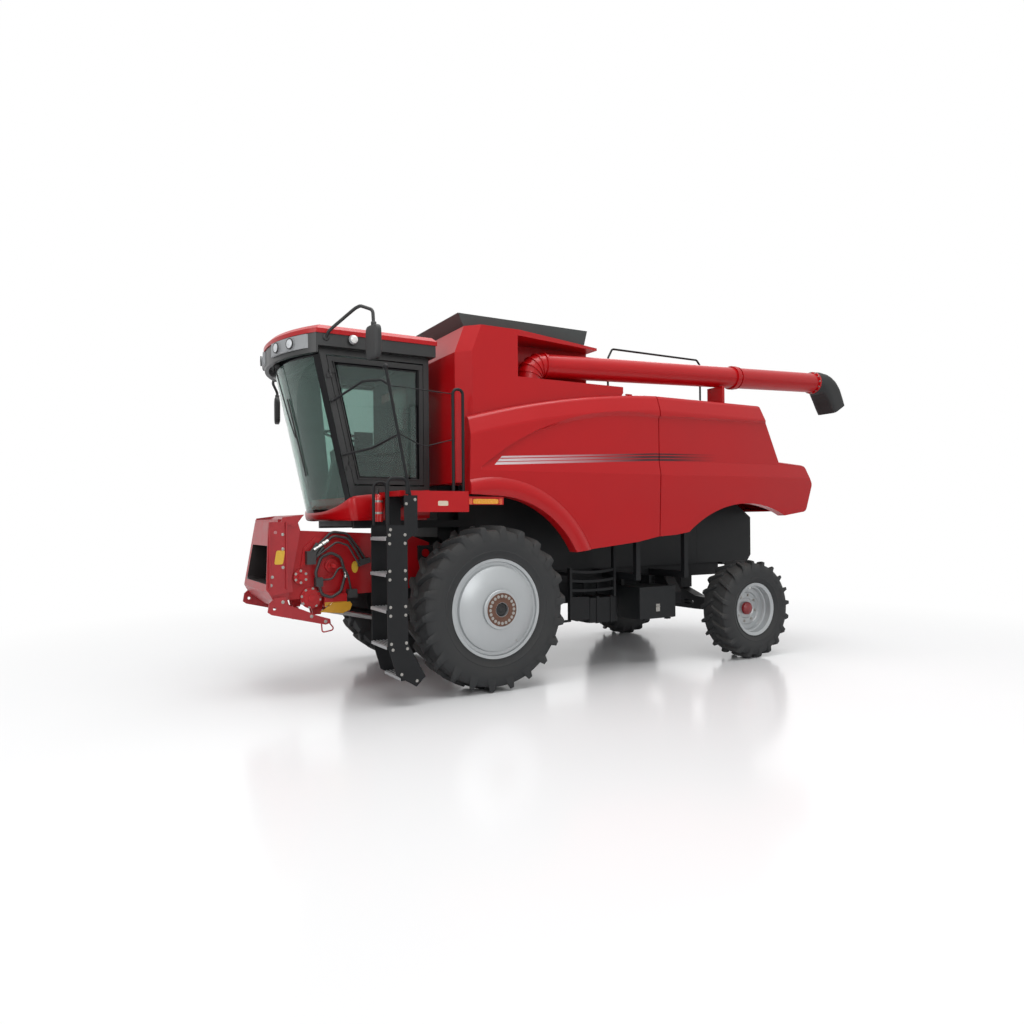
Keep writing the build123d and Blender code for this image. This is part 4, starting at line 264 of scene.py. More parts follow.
rubber = finish("tyre_rubber", (0.014, 0.016, 0.018), 0.74, grain=0.5, grain_scale=260.0, dust=0.10,
                mottle=0.25, mottle_scale=3.5)
sides = (("left", 1.0), ("right", -1.0))
wheelbase = 3.7
rear_axle_y = front_axle_y + wheelbase
front_radius, rear_radius = 0.845, 0.608
lug_turns_down, lug_narrows, lug_foot, lug_crest = 0.74, 0.80, 0.080, 0.048
tyre_sizes = (
    # name, wheel x, axle y, tread radius, bead radius, bead half width, width, lugs, lug height, run, steps
    ("front", 1.115, front_axle_y, front_radius, 0.500, 0.197, 0.460, 22, 0.042, 0.150, 132),
    ("rear", 1.200, rear_axle_y, rear_radius, 0.322, 0.152, 0.375, 20, 0.034, -0.110, 120),
)
for name, wheel_x, axle_y, radius, bead, bead_half, width, lugs, lug_height, run, steps in tyre_sizes:
    tread = radius - lug_height
    wall = tread - bead
    half_profile = np.array((
        (bead_half - 0.012, bead - 0.012), (bead_half, bead + 0.002), (bead_half + 0.006, bead + 0.016),
        (bead_half + 0.004, bead + 0.022), (0.44 * width, bead + 0.13 * wall), (0.474 * width, bead + 0.26 * wall),
        (0.474 * width + 0.003, bead + 0.275 * wall), (0.474 * width + 0.003, bead + 0.29 * wall),
        (0.476 * width, bead + 0.305 * wall), (0.496 * width, bead + 0.46 * wall), (0.5 * width, bead + 0.60 * wall),
        (0.490 * width, bead + 0.74 * wall), (0.463 * width, bead + 0.88 * wall), (0.42 * width, tread - 0.012),
        (0.30 * width, tread - 0.003), (0.12 * width, tread)))
    mirrored = half_profile[::-1] * np.array((-1.0, 1.0))
    inside = np.array(((-bead_half + 0.03, bead + 0.05), (bead_half - 0.03, bead + 0.05)))
    for side, sx in sides:
        place = (sx * wheel_x, axle_y, radius)
        carcass = turned("carcass", np.concatenate([half_profile, mirrored, inside]), place, steps, wrap=True)
        # A lug runs along its own line: first over the tread with the bend of its chevron, then down the shoulder
        along = np.linspace(0.0, 1.0, 15)
        across = np.minimum(along / lug_narrows, 1.0)
        down = np.clip((along - lug_turns_down) / (1 - lug_turns_down), 0.0, 1.0)
        lug_x = -0.03 * width + across * 0.505 * width + 0.012 * down
        lug_shift = run * (across ** 0.85 - 0.5) + 0.05 * run * down
        lug_top = radius - 0.006 * across ** 2 - 0.09 * radius / front_radius * down ** 1.6
        lug_top[0] = tread - 0.01
        lug_top[-1] = tread - 0.10
        lug_base = np.minimum(lug_top - 0.003, tread - 0.012 - 0.09 * down)
        foot, crest = lug_foot + 0.02 * down, lug_crest + 0.006 * down
        flare = np.stack([-foot, -crest, crest, foot], axis=-1) / 2 * radius / front_radius
        heights = np.stack([lug_base, lug_top, lug_top, lug_base], axis=-1)
        for half in (1, -1):
            number = np.arange(lugs)[:, None, None]
            turn = 2 * math.pi * (number + (0.0 if half > 0 else 0.5)) / lugs
            shift = (lug_shift[None, :, None] + flare[None]) / heights[None]
            points = np.stack(np.broadcast_arrays(half * lug_x[None, :, None],
                                                  heights[None] * np.sin(turn + shift),
                                                  heights[None] * np.cos(turn + shift)), axis=-1)
            middle = points.mean(axis=2, keepdims=True)
            capped = np.concatenate([np.broadcast_to(middle[:, :1], points[:, :1].shape), points,
                                     np.broadcast_to(middle[:, -1:], points[:, -1:].shape)], axis=1)
            bars = skin("bars", capped + np.asarray(place), wrap_columns=True)
            bars.data.name = "bars"
            carcass = joined("tyre", [carcass, bars])
        tyre = crisp(outward(carcass), 34)
        tyre.name = "bar_tyre_" + name + "_" + side
        fit(tyre, "wheel_" + name + "_" + side, rubber, "tyre_" + name + "_" + side)


# Rims: pressed steel discs in rolled barrels, sprayed silver. The front disc carries a rusty drive flange
# with a ring of bolts and a dark hub bore, the rear one has a dark red grease cap in its dish.
def coat(material, *parts):
    """Gives the named parts of the model this one material."""
    for part in parts:
        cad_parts[part].data.materials.clear()
        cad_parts[part].data.materials.append(material)


def bolt_heads(name, places, facing, radius=0.010, height=0.007):
    """Hexagon heads with a thin chamfer on round washers, one at each place, all pointing along facing.

    A corner is place + facing * level + reach * (u * sin(angle) + v * cos(angle)); the reach of the head
    falls to cos(30 degrees) of its size in the middle of each flat.
    """
    places = np.asarray(places, dtype=float).reshape(-1, 1, 1, 3)
    ahead = np.broadcast_to(np.asarray(facing, dtype=float), (len(places), 3)).reshape(-1, 1, 1, 3)
    side = np.where(np.abs(ahead[..., 2:]) < 0.9, (0.0, 0.0, 1.0), (1.0, 0.0, 0.0))
    u = np.cross(side, ahead)
    u /= np.linalg.norm(u, axis=-1, keepdims=True)
    v = np.cross(ahead, u)
    angle = np.arange(12) * math.pi / 6
    flat = np.where(np.arange(12) % 2, math.cos(math.pi / 6), 1.0)
    rows = ((0.0, 1.55, 0), (0.16, 1.55, 0), (0.20, 1.45, 0), (0.20, 1.0, 1), (0.86, 1.0, 1), (1.0, 0.84, 1),
            (1.0, 0.0, 0))
    level = np.array([r[0] for r in rows])[None, :, None, None] * height
    reach = np.array([r[1] * (flat if r[2] else np.ones(12)) for r in rows])[None, :, :, None] * radius
    points = places + ahead * level + reach * (u * np.sin(angle)[:, None] + v * np.cos(angle)[:, None])
    return skin(name, points, wrap_columns=True, sharp=True)


def bolted(name, body, places, facing, radius=0.010, height=0.007):
    """Zinc-plated bolt heads on a body."""
    return fit(bolt_heads(name, places, facing, radius, height), body, bolt_steel)


def ring_places(centre, radius, count, facing, start=0.0):
    """Places spread evenly on a circle round the facing direction, which is X, Y or Z."""
    angle = start + np.arange(count) * 2 * math.pi / count
    flat = np.stack([np.zeros(count), radius * np.sin(angle), radius * np.cos(angle)], axis=-1)
    return np.asarray(centre) + np.roll(flat, facing, axis=1)


silver = finish("rim_silver", (0.40, 0.42, 0.43), 0.38, metallic=0.45, coat=0.12, grain=0.06, grain_scale=700.0,
                dust=0.12, mottle=0.07, mottle_scale=5.0)
hub_steel = finish("hub_rust", (0.115, 0.052, 0.034), 0.66, metallic=0.3, grain=0.5, grain_scale=180.0, dust=0.15,
                   mottle=0.35, mottle_scale=30.0)
bolt_steel = finish("bolt_zinc", (0.34, 0.33, 0.31), 0.36, metallic=0.8, grain=0.1, dust=0.1, mottle=0.2,
                    mottle_scale=60.0)
black_rubber = finish("moulded_rubber", (0.010, 0.011, 0.012), 0.62, grain=0.25, grain_scale=500.0, dust=0.06)
red_cap = finish("cap_red", (0.22, 0.006, 0.010), 0.34, coat=0.3, mottle=0.12, mottle_scale=20.0)
coat(silver, "rim_front_left", "rim_front_right", "rim_rear_left", "rim_rear_right")
for side, sx in sides:
    ahead = (sx, 0.0, 0.0)
    hub = (sx * 1.420, front_axle_y, front_radius)
    flange = turned("drive_flange_" + side,
                    ((0.0005, 0.168), (0.0035, 0.166), (0.0040, 0.162), (0.0040, 0.104), (0.0030, 0.100),
                     (0.0030, 0.088), (0.0045, 0.085), (0.0045, 0.074), (-0.010, 0.0695)), hub, 72, facing=ahead)
    fit(crisp(flange, 30), "wheel_front_" + side, hub_steel)
    bolted("drive_bolts_" + side, "wheel_front_" + side,
           ring_places((hub[0] + sx * 0.004, hub[1], hub[2]), 0.136, 20, 0), ahead, 0.0105, 0.0055)
    stub_cap = turned("stub_cap_" + side,
                      ((-0.040, 0.066), (-0.022, 0.064), (-0.018, 0.058), (-0.018, 0.030), (-0.012, 0.024),
                       (-0.010, 0.0005)), hub, 48, facing=ahead)
    fit(crisp(stub_cap, 30), "wheel_front_" + side, black_rubber)
    valve = turned("front_valve_" + side, ((0.0, 0.011), (0.004, 0.010), (0.006, 0.005), (0.030, 0.0045),
                                           (0.034, 0.003), (0.034, 0.0002)),
                   (sx * 1.3305, front_axle_y + 0.20, front_radius - 0.325), 16, facing=(sx, 0.25, -0.30))
    fit(valve, "wheel_front_" + side, bolt_steel)
    dish = (sx * 1.212, rear_axle_y, rear_radius)
    bolted("rear_bolts_" + side, "wheel_rear_" + side, ring_places(dish, 0.163, 8, 0, 0.2), ahead, 0.0125, 0.014)
    cap = turned("grease_cap_" + side,
                 ((-0.001, 0.0790), (0.0285, 0.0775), (0.0345, 0.0735), (0.0400, 0.066), (0.0430, 0.060),
                  (0.0585, 0.046), (0.0650, 0.028), (0.0670, 0.0005)), dish, 56, facing=ahead)
    fit(crisp(cap, 40), "wheel_rear_" + side, red_cap)
    blank_tag = turned("rim_tag_" + side, ((0.0, 0.016), (0.0008, 0.015), (0.0008, 0.0002)),
                       (sx * 1.302, rear_axle_y - 0.03, rear_radius + 0.262), 20, facing=(sx, 0.0, -0.25))
    fit(blank_tag, "wheel_rear_" + side,
        finish("pale_tag_" + side, (0.70, 0.70, 0.68), 0.5, mottle=0.05))

# Running gear and frame: welded steel beams, rails and sheets, sprayed satin black and dusty below. The
# straw hood is thinner sheet, the lift rods are bare chromed steel.
frame_black = finish("frame_black", (0.0065, 0.0075, 0.009), 0.50, grain=0.2, grain_scale=350.0, dust=0.10,
                     mottle=0.25, mottle_scale=4.0, dust_colour=(0.16, 0.14, 0.12))
sheet_black = finish("sheet_black", (0.008, 0.0095, 0.011), 0.44, grain=0.1, grain_scale=600.0, dust=0.10,
                     mottle=0.2, mottle_scale=3.0, dust_colour=(0.18, 0.16, 0.14))
cast_grey = finish("engine_cast", (0.050, 0.050, 0.052), 0.70, grain=0.6, grain_scale=120.0, dust=0.3, mottle=0.3,
                   mottle_scale=8.0)
for black in (frame_black, sheet_black):
    black.node_tree.nodes["Principled BSDF"].inputs["Specular IOR Level"].default_value = 0.22
bare_steel = finish("bare_steel", (0.42, 0.42, 0.42), 0.30, metallic=0.85, grain=0.12, grain_scale=300.0, dust=0.12,
                    mottle=0.2, mottle_scale=12.0)
coat(frame_black, "main_frame", "front_axle", "rear_axle", "knuckle_left", "knuckle_right", "tie_rod",
     "cab_bearers", "lift_barrel_left", "lift_barrel_right", "lower_frames")
coat(sheet_black, "threshing_body", "straw_hood")
coat(cast_grey, "engine_block")
coat(bare_steel, "lift_rod_left", "lift_rod_right", "tank_augers")

# Side panels: large moulded trays in glossy red, hung by hinges at the top edge. A striped decal of pale
# bands that darken rearward lies on the scallop, cut on a slant in front and fading out at the tail.
def red_paint(name, colour=(0.41, 0.0004, 0.0030), roughness=0.34, dust=0.010):
    """Glossy red paint with a clear coat, a faint orange peel and almost no dust."""
    paint = finish(name, colour, roughness, coat=0.16, grain=0.035, grain_scale=260.0, dust=dust, mottle=0.045,
                   mottle_scale=1.6)
    paint.node_tree.nodes["Principled BSDF"].inputs["Specular IOR Level"].default_value = 0.28
    return paint


def sums(tree):
    """Gives a function that adds a Math node of a named kind and returns its output."""
    def number(kind, *values):
        return shade(tree, "Math", enumerate(values), operation=kind).outputs[0]
    return number


def axes_of(tree):
    """The X, Y and Z of each point of the model, as outputs."""
    return shade(tree, "SeparateXYZ", {"Vector": shade(tree, "TexCoord").outputs["Object"]}).outputs


def painted_over(material, cover, colour):
    """Lays a second colour over the material's own one where cover is 1."""
    tree = material.node_tree
    base = tree.nodes["Principled BSDF"].inputs["Base Color"]
    mix = shade(tree, "Mix", {"Factor": cover, "A": base.links[0].from_socket, "B": colour}, data_type="RGBA")
    tree.links.new(mix.outputs["Result"], base)
    return material


def striped(material, front_y, seam_y, front_z, seam_z, tail_slope):
    """Adds the decal: its height is the distance above a line that bends at the seam.

    d = z - min(front_z + rise * (y - front_y), seam_z + tail_slope * (y - seam_y)); a band covers d
    between its two edges where y - front_y is more than 1.1 * d, and the tone runs rearward over a ramp.
    """
    tree = material.node_tree
    number, axes = sums(tree), axes_of(tree)
    y, z = axes["Y"], axes["Z"]
    rise = (seam_z - front_z) / (seam_y - front_y)
    front_line = number("MULTIPLY_ADD", y, rise, front_z - rise * front_y)
    tail_line = number("MULTIPLY_ADD", y, tail_slope, seam_z - tail_slope * seam_y)
    above = number("SUBTRACT", z, number("MINIMUM", front_line, tail_line))
    started = number("GREATER_THAN", y, number("MULTIPLY_ADD", above, 1.1, front_y))
    covered = 0.0
    for low, high in ((-0.034, -0.008), (0.000, 0.026), (0.036, 0.054)):
        covered = number("MAXIMUM", number("COMPARE", above, (low + high) / 2, (high - low) / 2), covered)
    tail_y = seam_y + 1.0
    fade = shade(tree, "MapRange", {"Value": y, "From Min": seam_y + 0.25, "From Max": tail_y, "To Min": 1.0,
                                    "To Max": 0.0})
    cover = number("MULTIPLY", number("MULTIPLY", covered, started), fade.outputs["Result"])
    run = shade(tree, "MapRange", {"Value": y, "From Min": front_y, "From Max": tail_y})
    tone = shade(tree, "ValToRGB", {"Fac": run.outputs["Result"]})
    ramp = tone.color_ramp
    ramp.elements[0].color = (0.62, 0.56, 0.57, 1.0)
    ramp.elements[1].position = 1.0
    ramp.elements[1].color = (0.10, 0.001, 0.003, 1.0)
    for position, colour in ((0.22, (0.50, 0.30, 0.32, 1.0)), (0.45, (0.26, 0.07, 0.08, 1.0)),
                             (0.62, (0.055, 0.008, 0.012, 1.0)), (0.85, (0.045, 0.003, 0.006, 1.0))):
        ramp.elements.new(position).color = colour
    return painted_over(material, cover, tone.outputs["Color"])


panel_red = striped(red_paint("panel_red"), front_axle_y + 0.042, front_axle_y + 2.165, 2.340, 2.448, 0.0223)
coat(panel_red, "side_panel_front_left", "side_panel_front_right", "side_panel_rear_left", "side_panel_rear_right")

# Grain tank, its folded cover sheets and the hood: red sprayed sheet steel, welded and bolted. The raised
# extension round the mouth is galvanised sheet painted a dark grey-green, screwed on along its foot.
body_red = red_paint("body_red", dust=0.015)
dark_sheet = finish("extension_grey", (0.030, 0.038, 0.038), 0.46, coat=0.15, grain=0.12, grain_scale=300.0,
                    dust=0.18, mottle=0.2, mottle_scale=3.0)
coat(body_red, "grain_tank", "engine_hood", "auger_cradle", "unload_auger")
coat(dark_sheet, "tank_extension")


def placed(points):
    """Points given behind the front axle, moved to the model's own place."""
    return np.asarray(points, dtype=float) + (0.0, front_axle_y, 0.0)


foot_x, foot_z = 0.9165, 3.772
for side, sx in sides:
    screws = placed([(sx * foot_x, y, foot_z) for y in np.linspace(-0.02, 1.30, 8)])
    bolted("extension_screws_" + side, "chassis", screws, (sx * 0.95, 0.0, -0.3), 0.008, 0.005)

# Unloading tube: rolled red sheet, its collars drawn together by bolts, with a moulded black rubber boot
# that is pulled over the end, rounded at the tube and squarer at its mouth, and held by rivets.
rise = math.radians(2.4)
tube_way = np.array((0.0, math.cos(rise), math.sin(rise)))
tube_x = 1.005
tube_root = placed((tube_x, 0.5981, 3.425))
stations = (
    # how far along the boot: centre behind the axle and up, lean, half width, half depth, squareness
    (0.00, 5.275, 3.6210, 2.4, 0.140, 0.140, 2.2), (0.10, 5.345, 3.6235, 0.0, 0.146, 0.146, 2.4),
    (0.24, 5.440, 3.6020, -22.0, 0.150, 0.150, 3.2), (0.40, 5.520, 3.5450, -44.0, 0.152, 0.152, 4.5),
    (0.58, 5.585, 3.4620, -56.0, 0.151, 0.148, 6.0), (0.80, 5.640, 3.3580, -60.0, 0.150, 0.138, 7.0),
    (1.00, 5.690, 3.2690, -60.0, 0.149, 0.128, 7.0),
)
# Each value runs straight from station to station, and a running mean then eases its corners
table = np.array(stations).T
along = np.linspace(0.0, 1.0, 42)
weights = np.array((1, 3, 5, 3, 1)) / 13
boot_y, boot_z, lean, half_wide, half_deep, square = (
    np.convolve(np.pad(np.interp(along, table[0], row), 2, mode="reflect", reflect_type="odd"), weights, mode="valid")
    for row in table[1:])
lean = np.radians(lean)
square = square[:, None]
around = np.linspace(0, 2 * math.pi, 72, endpoint=False)[None]


def pushed(angle, power):
    """How far a circle is pushed out towards a square: (|cos angle|^power + |sin angle|^power)^(-1/power)."""
    return (np.abs(np.cos(angle)) ** power + np.abs(np.sin(angle)) ** power) ** (-1 / power)


def boot_skin(thinner):
    """One skin of the boot: rings of a rounded square that lean over along a bent centre line.

    A point is centre + half_wide * c across + half_deep * s up its own lean, with (c, s) a circle pushed
    out by its squareness, each half drawn in by thinner. Three shallow folds go round it near the tube.
    """
    push = pushed(around, square)
    across = (half_wide - thinner)[:, None] * np.cos(around) * push
    up = (half_deep - thinner)[:, None] * np.sin(around) * push
    folds = np.cos(np.clip((along - 0.12) / 0.26, 0, 1) * 6 * math.pi) * (along < 0.38)
    up = up * (1 + 0.0022 * folds[:, None] / 0.15)
    return placed(np.stack([tube_x + across, boot_y[:, None] - np.sin(lean)[:, None] * up,
                            boot_z[:, None] + np.cos(lean)[:, None] * up], axis=-1))


boot = skin("boot", np.concatenate([boot_skin(0.0), boot_skin(0.005)[::-1]]), wrap_rows=True, wrap_columns=True)
fit(crisp(boot, 50), "unloader", black_rubber, "auger_boot")
rivet_turn = np.radians(np.arange(8) * 15 + 38)
rivet_way = np.stack([np.cos(rivet_turn), np.zeros(8), np.sin(rivet_turn)], axis=-1)
bolted("boot_rivets", "unloader", placed((tube_x, 5.352, 3.6235)) + 0.1475 * rivet_way, rivet_way, 0.008, 0.004)
collar_reach = 0.1405
for number, (distance, count, way) in enumerate(((3.1455, 14, 1), (4.6645, 12, -1))):
    turn = np.arange(count) * 2 * math.pi / count
    across = np.stack([np.cos(turn), -np.sin(turn) * math.sin(rise), np.sin(turn) * math.cos(rise)], axis=-1)
    bolted("collar_bolts_%d" % number, "unloader", tube_root + tube_way * distance + across * collar_reach,
           way * tube_way, 0.0075, 0.006)

# Cab: a black welded frame and door round green-tinted glass, each pane edged by a printed black border
# and a rubber seal. The roof is a red moulded cap on a black visor with pale grey lamp pods.
frame_gloss = finish("cab_black", (0.007, 0.008, 0.009), 0.34, coat=0.05, grain=0.05, dust=0.06, mottle=0.1)
plastic_black = finish("plastic_black", (0.011, 0.012, 0.013), 0.55, grain=0.35, grain_scale=420.0, dust=0.05)
pod_grey = finish("pod_grey", (0.30, 0.31, 0.32), 0.45, coat=0.1, grain=0.2, grain_scale=420.0, dust=0.08)
coat(frame_gloss, "cab_frame", "cab_door", "roof_visor")
coat(body_red, "cab_roof", "cab_base")
coat(pod_grey, "work_lamps")
coat(plastic_black, "steering_column", "control_console", "seat_base")


def tinted(name, tint, border_mask):
    """Window glass: tinted, clear and glossy, with a faint wander of its tint and a black border.

    border_mask(number, x, y, z) gives 1 where the printed border covers the pane and 0 elsewhere.
    """
    material = bpy.data.materials.new(name)
    material.use_nodes = True
    tree = material.node_tree
    shader = tree.nodes["Principled BSDF"]
    shader.inputs["Roughness"].default_value = 0.02
    shader.inputs["IOR"].default_value = 1.30
    shader.inputs["Specular IOR Level"].default_value = 0.55

    number, axes = sums(tree), axes_of(tree)
    border = border_mask(number, axes["X"], axes["Y"], axes["Z"])
    place = shade(tree, "TexCoord").outputs["Object"]
    wander = shade(tree, "TexNoise", {"Scale": 1.4, "Detail": 3.0, "Vector": place})
    thin, deep = ((*[min(1.0, c * level) for c in tint], 1.0) for level in (0.86, 1.10))
    tone = shade(tree, "Mix", {"Factor": wander.outputs["Fac"], "A": thin, "B": deep}, data_type="RGBA")
    tree.links.new(tone.outputs["Result"], shader.inputs["Base Color"])
    tree.links.new(number("MULTIPLY_ADD", border, -0.92, 0.92), shader.inputs["Transmission Weight"])
    return painted_over(material, border, (0.006, 0.006, 0.007, 1.0))


pillar_foot_y, pillar_foot_z, pillar_head_y, pillar_head_z = -1.330, 1.980, -1.650, 3.440
pillar_slope = (pillar_head_y - pillar_foot_y) / (pillar_head_z - pillar_foot_z)
door_rear_y, door_rail, door_low, door_high, printed_band = -0.470, 0.113, 2.159, 3.321, 0.034


def pillar_line(z):
    """Model Y of the slanted cab pillar's front edge at a height z: a straight line from foot to head."""
    return front_axle_y + pillar_foot_y + pillar_slope * (z - pillar_foot_z)


def screen_border(number, x, y, z):
    """The windscreen's border: 60 mm at each side and below, 90 mm at the top."""
    side_band = number("GREATER_THAN", number("ABSOLUTE", x), 0.672)
    low_band = number("LESS_THAN", z, 1.868)
    high_band = number("GREATER_THAN", z, 3.36)
    return number("MAXIMUM", number("MAXIMUM", side_band, low_band), high_band)


def door_border(number, x, y, z):
    """The door pane's border: 34 mm inside the door frame on all four edges."""
    ahead = number("MULTIPLY_ADD", z, -pillar_slope, y)
    front_band = number("LESS_THAN", ahead, pillar_line(0.0) + door_rail + printed_band)
    rear_band = number("GREATER_THAN", y, front_axle_y + door_rear_y - door_rail - printed_band)
    low_band = number("LESS_THAN", z, door_low + printed_band)
    high_band = number("GREATER_THAN", z, door_high - printed_band)
    return number("MAXIMUM", number("MAXIMUM", front_band, rear_band), number("MAXIMUM", low_band, high_band))


def fixed_border(number, x, y, z):
    """The fixed panes' border: a band along the top and the bottom edge."""
    return number("MAXIMUM", number("GREATER_THAN", z, 3.335), number("LESS_THAN", z, 2.275))


coat(tinted("windscreen_glass", (0.46, 0.64, 0.58), screen_border), "windscreen")
coat(tinted("door_glass", (0.42, 0.54, 0.50), door_border), "door_glass")
coat(tinted("fixed_glass", (0.40, 0.54, 0.50), fixed_border), "cab_windows")


def tube(name, path, radius, corners=14, bend=0.0):
    """Round tube along a path of points, closed at both ends.

    Each corner of the path is cut by three rounds of quarter points, and each ring of the tube is
    point + radius * (side * cos(angle) + up * sin(angle)), with side square to the run and to a
    steady direction. bend is how much of each run the cuts take, and 0 keeps the corners.
    """
    way = np.asarray(path, dtype=float)
    for _ in range(3 if bend > 0 else 0):
        first, last = way[:-1] * (1 - bend) + way[1:] * bend, way[:-1] * bend + way[1:] * (1 - bend)
        way = np.concatenate([way[:1], np.stack([first, last], axis=1).reshape(-1, 3), way[-1:]])
    runs = np.gradient(way, axis=0)
    runs /= np.linalg.norm(runs, axis=1, keepdims=True)
    steady = np.eye(3)[np.argmin(np.abs(runs).max(axis=0))]
    side = np.cross(runs, steady)
    side /= np.linalg.norm(side, axis=1, keepdims=True)
    up = np.cross(runs, side)
    angle = np.linspace(0, 2 * math.pi, corners, endpoint=False)[None, :, None]
    rings = way[:, None] + radius * (side[:, None] * np.cos(angle) + up[:, None] * np.sin(angle))
    ends = np.broadcast_to(way[[0, -1], None], (2, corners, 3))
    return crisp(skin(name, np.concatenate([ends[:1], rings, ends[1:]]), wrap_columns=True), 40)


def slab(name, outline, thickness, bevel=0.0):
    """Flat plate: its outline of points drawn out along its own normal, with its edges turned over.

    The rings go from the back edge to the front edge and then in to the outline drawn in by the bevel.
    """
    edge = np.asarray(outline, dtype=float)
    centre = edge.mean(axis=0)
    normal = np.cross(edge[1] - edge[0], edge[2] - edge[1])
    normal /= np.linalg.norm(normal)
    inward = (centre - edge) / np.linalg.norm(centre - edge, axis=1, keepdims=True)
    rings = [edge, edge + normal * (thickness - bevel), edge + normal * thickness + inward * max(bevel, 0.0002),
             np.broadcast_to(centre + normal * thickness, edge.shape)]
    return crisp(skin(name, np.stack([np.broadcast_to(centre, edge.shape), *rings]), wrap_columns=True), 25)


def pane_edge(name, corners, width, thickness, body):
    """Rubber seal: one strip along each side of a pane, proud of the frame by its thickness.

    Its inner corners are the pane's corners drawn towards the middle by 1.35 times the width.
    """
    corners = np.asarray(corners, dtype=float)
    centre = corners.mean(axis=0)
    reach = np.linalg.norm(corners - centre, axis=1, keepdims=True)
    inner = centre + (corners - centre) * (1 - width / reach * 1.35)
    normal = np.cross(corners[1] - corners[0], corners[2] - corners[1])
    normal = normal / np.linalg.norm(normal) * thickness
    rings = np.stack([corners, corners + normal, inner + normal, inner])
    return fit(crisp(skin(name, rings, wrap_rows=True, wrap_columns=True), 20), body, black_rubber)


door_x, door_back_y = 0.7568, front_axle_y + door_rear_y - door_rail
door_corners = [(door_x, pillar_line(door_low) + door_rail, door_low), (door_x, door_back_y, door_low),
                (door_x, door_back_y, door_high), (door_x, pillar_line(door_high) + door_rail, door_high)]
pane_edge("door_seal", door_corners, 0.012, 0.004, "door")

# Wiper: a black steel arm from a motor under the roof with a rubber blade, parked upright on the
# windscreen.
screen_half_wide, screen_rise, screen_step = 0.726, 0.215, 0.010


def screen_point(x, z, proud):
    """Place on the curved windscreen at x and z, moved forward by proud.

    The pane's bulge is screen_rise in the middle and falls with the square of x over its half width.
    """
    half = screen_half_wide + (z - 1.8) * 0.0061
    return (x, pillar_line(z) - screen_step - screen_rise * (1 - (x / half) ** 2) - proud, z)


arm = tube("wiper_arm", [screen_point(0.05, 3.37, 0.045), screen_point(0.06, 3.25, 0.050),
                         screen_point(0.10, 2.75, 0.036), screen_point(0.12, 2.62, 0.024)], 0.007, bend=0.2)
fit(arm, "chassis", plastic_black)
blade = tube("wiper_blade", [screen_point(0.10, 3.02, 0.012), screen_point(0.12, 2.62, 0.012),
                             screen_point(0.14, 2.22, 0.012)], 0.008, bend=0.25)
fit(blade, "chassis", black_rubber)
motor = turned("wiper_motor", ((0.0, 0.034), (0.030, 0.034), (0.038, 0.028), (0.044, 0.012), (0.044, 0.0003)),
               screen_point(0.05, 3.37, 0.006), 32, facing=(0.0, -1.0, 0.0))
fit(crisp(motor, 30), "chassis", plastic_black)

# Lamps: clear ribbed lenses over bright reflectors, in black rings pressed into the pods, and one pale
# round lamp on each side of the visor.
lens_white = finish("lamp_lens", (0.62, 0.64, 0.66), 0.10, coat=0.6, mottle=0.10, mottle_scale=60.0)
lens_glow = finish("side_lens", (0.78, 0.78, 0.76), 0.18, coat=0.5, mottle=0.06, mottle_scale=50.0)
# The visor's front is a parabola across the cab: its foremost place, half width and rise to the side
brow_y, brow_half_wide, brow_rise = -1.989, 0.85, 0.275
for side, sx in sides:
    for number, lamp_x in enumerate((0.330, 0.560)):
        brow = brow_y + (lamp_x / brow_half_wide) ** 2 * brow_rise
        turn = 2 * lamp_x / brow_half_wide ** 2 * brow_rise
        ahead = np.array((sx * turn, -1.0, 0.0)) / math.hypot(turn, 1.0)
        centre = placed((sx * lamp_x, brow, 3.485)) + ahead * 0.014
        ring = turned("lamp_ring_%s_%d" % (side, number),
                      ((-0.001, 0.0545), (0.006, 0.0540), (0.0095, 0.0515), (0.0100, 0.047), (0.0080, 0.0435),
                       (0.0010, 0.0435)), centre, 56, facing=ahead)
        fit(crisp(ring, 30), "chassis", plastic_black)
        # The lens is a shallow dome with ribs of 0.6 mm
        arc = np.linspace(0.0, 1.0, 8)
        dome = np.stack([0.0085 + 0.006 * (1 - arc ** 2) + 0.0006 * np.cos(arc * 40), 0.0432 * arc + 0.0002], axis=-1)
        lens = turned("lamp_lens_%s_%d" % (side, number), dome[::-1], centre, 56, facing=ahead)
        fit(lens, "chassis", lens_white)
    lens = turned("side_lens_" + side, ((0.0585, 0.0375), (0.0600, 0.036), (0.0640, 0.022), (0.0650, 0.0003)),
                  (sx * 0.838, front_axle_y - 1.336, 3.518), 40, facing=(sx, 0.0, 0.0))
    fit(lens, "chassis", lens_glow)

# Mirrors: a moulded black head with softly rounded edges, silvered glass in its rear face, clamped to an
# arm of bent steel tube from the roof corner.
def rounded_block(name, centre, size, turn=0.0, power=6.0, rows=24, columns=48):
    """Block with all its edges rounded, turned about Z by turn.

    A point is centre + size/2 * (c(b) c(a), c(b) s(a), s(b)), where each sine and cosine is pushed out
    from the circle by the given power.
    """
    b, a = np.meshgrid(np.linspace(-math.pi / 2, math.pi / 2, rows), np.linspace(-math.pi, math.pi, columns,
                       endpoint=False), indexing="ij")
    push_b, push_a = pushed(b, power), pushed(a, power)
    x = np.cos(b) * push_b * np.cos(a) * push_a * size[0] / 2
    y = np.cos(b) * push_b * np.sin(a) * push_a * size[1] / 2
    z = np.sin(b) * push_b * size[2] / 2
    points = np.stack([x * math.cos(turn) - y * math.sin(turn), x * math.sin(turn) + y * math.cos(turn), z], axis=-1)
    return skin(name, points + np.asarray(centre), wrap_columns=True)


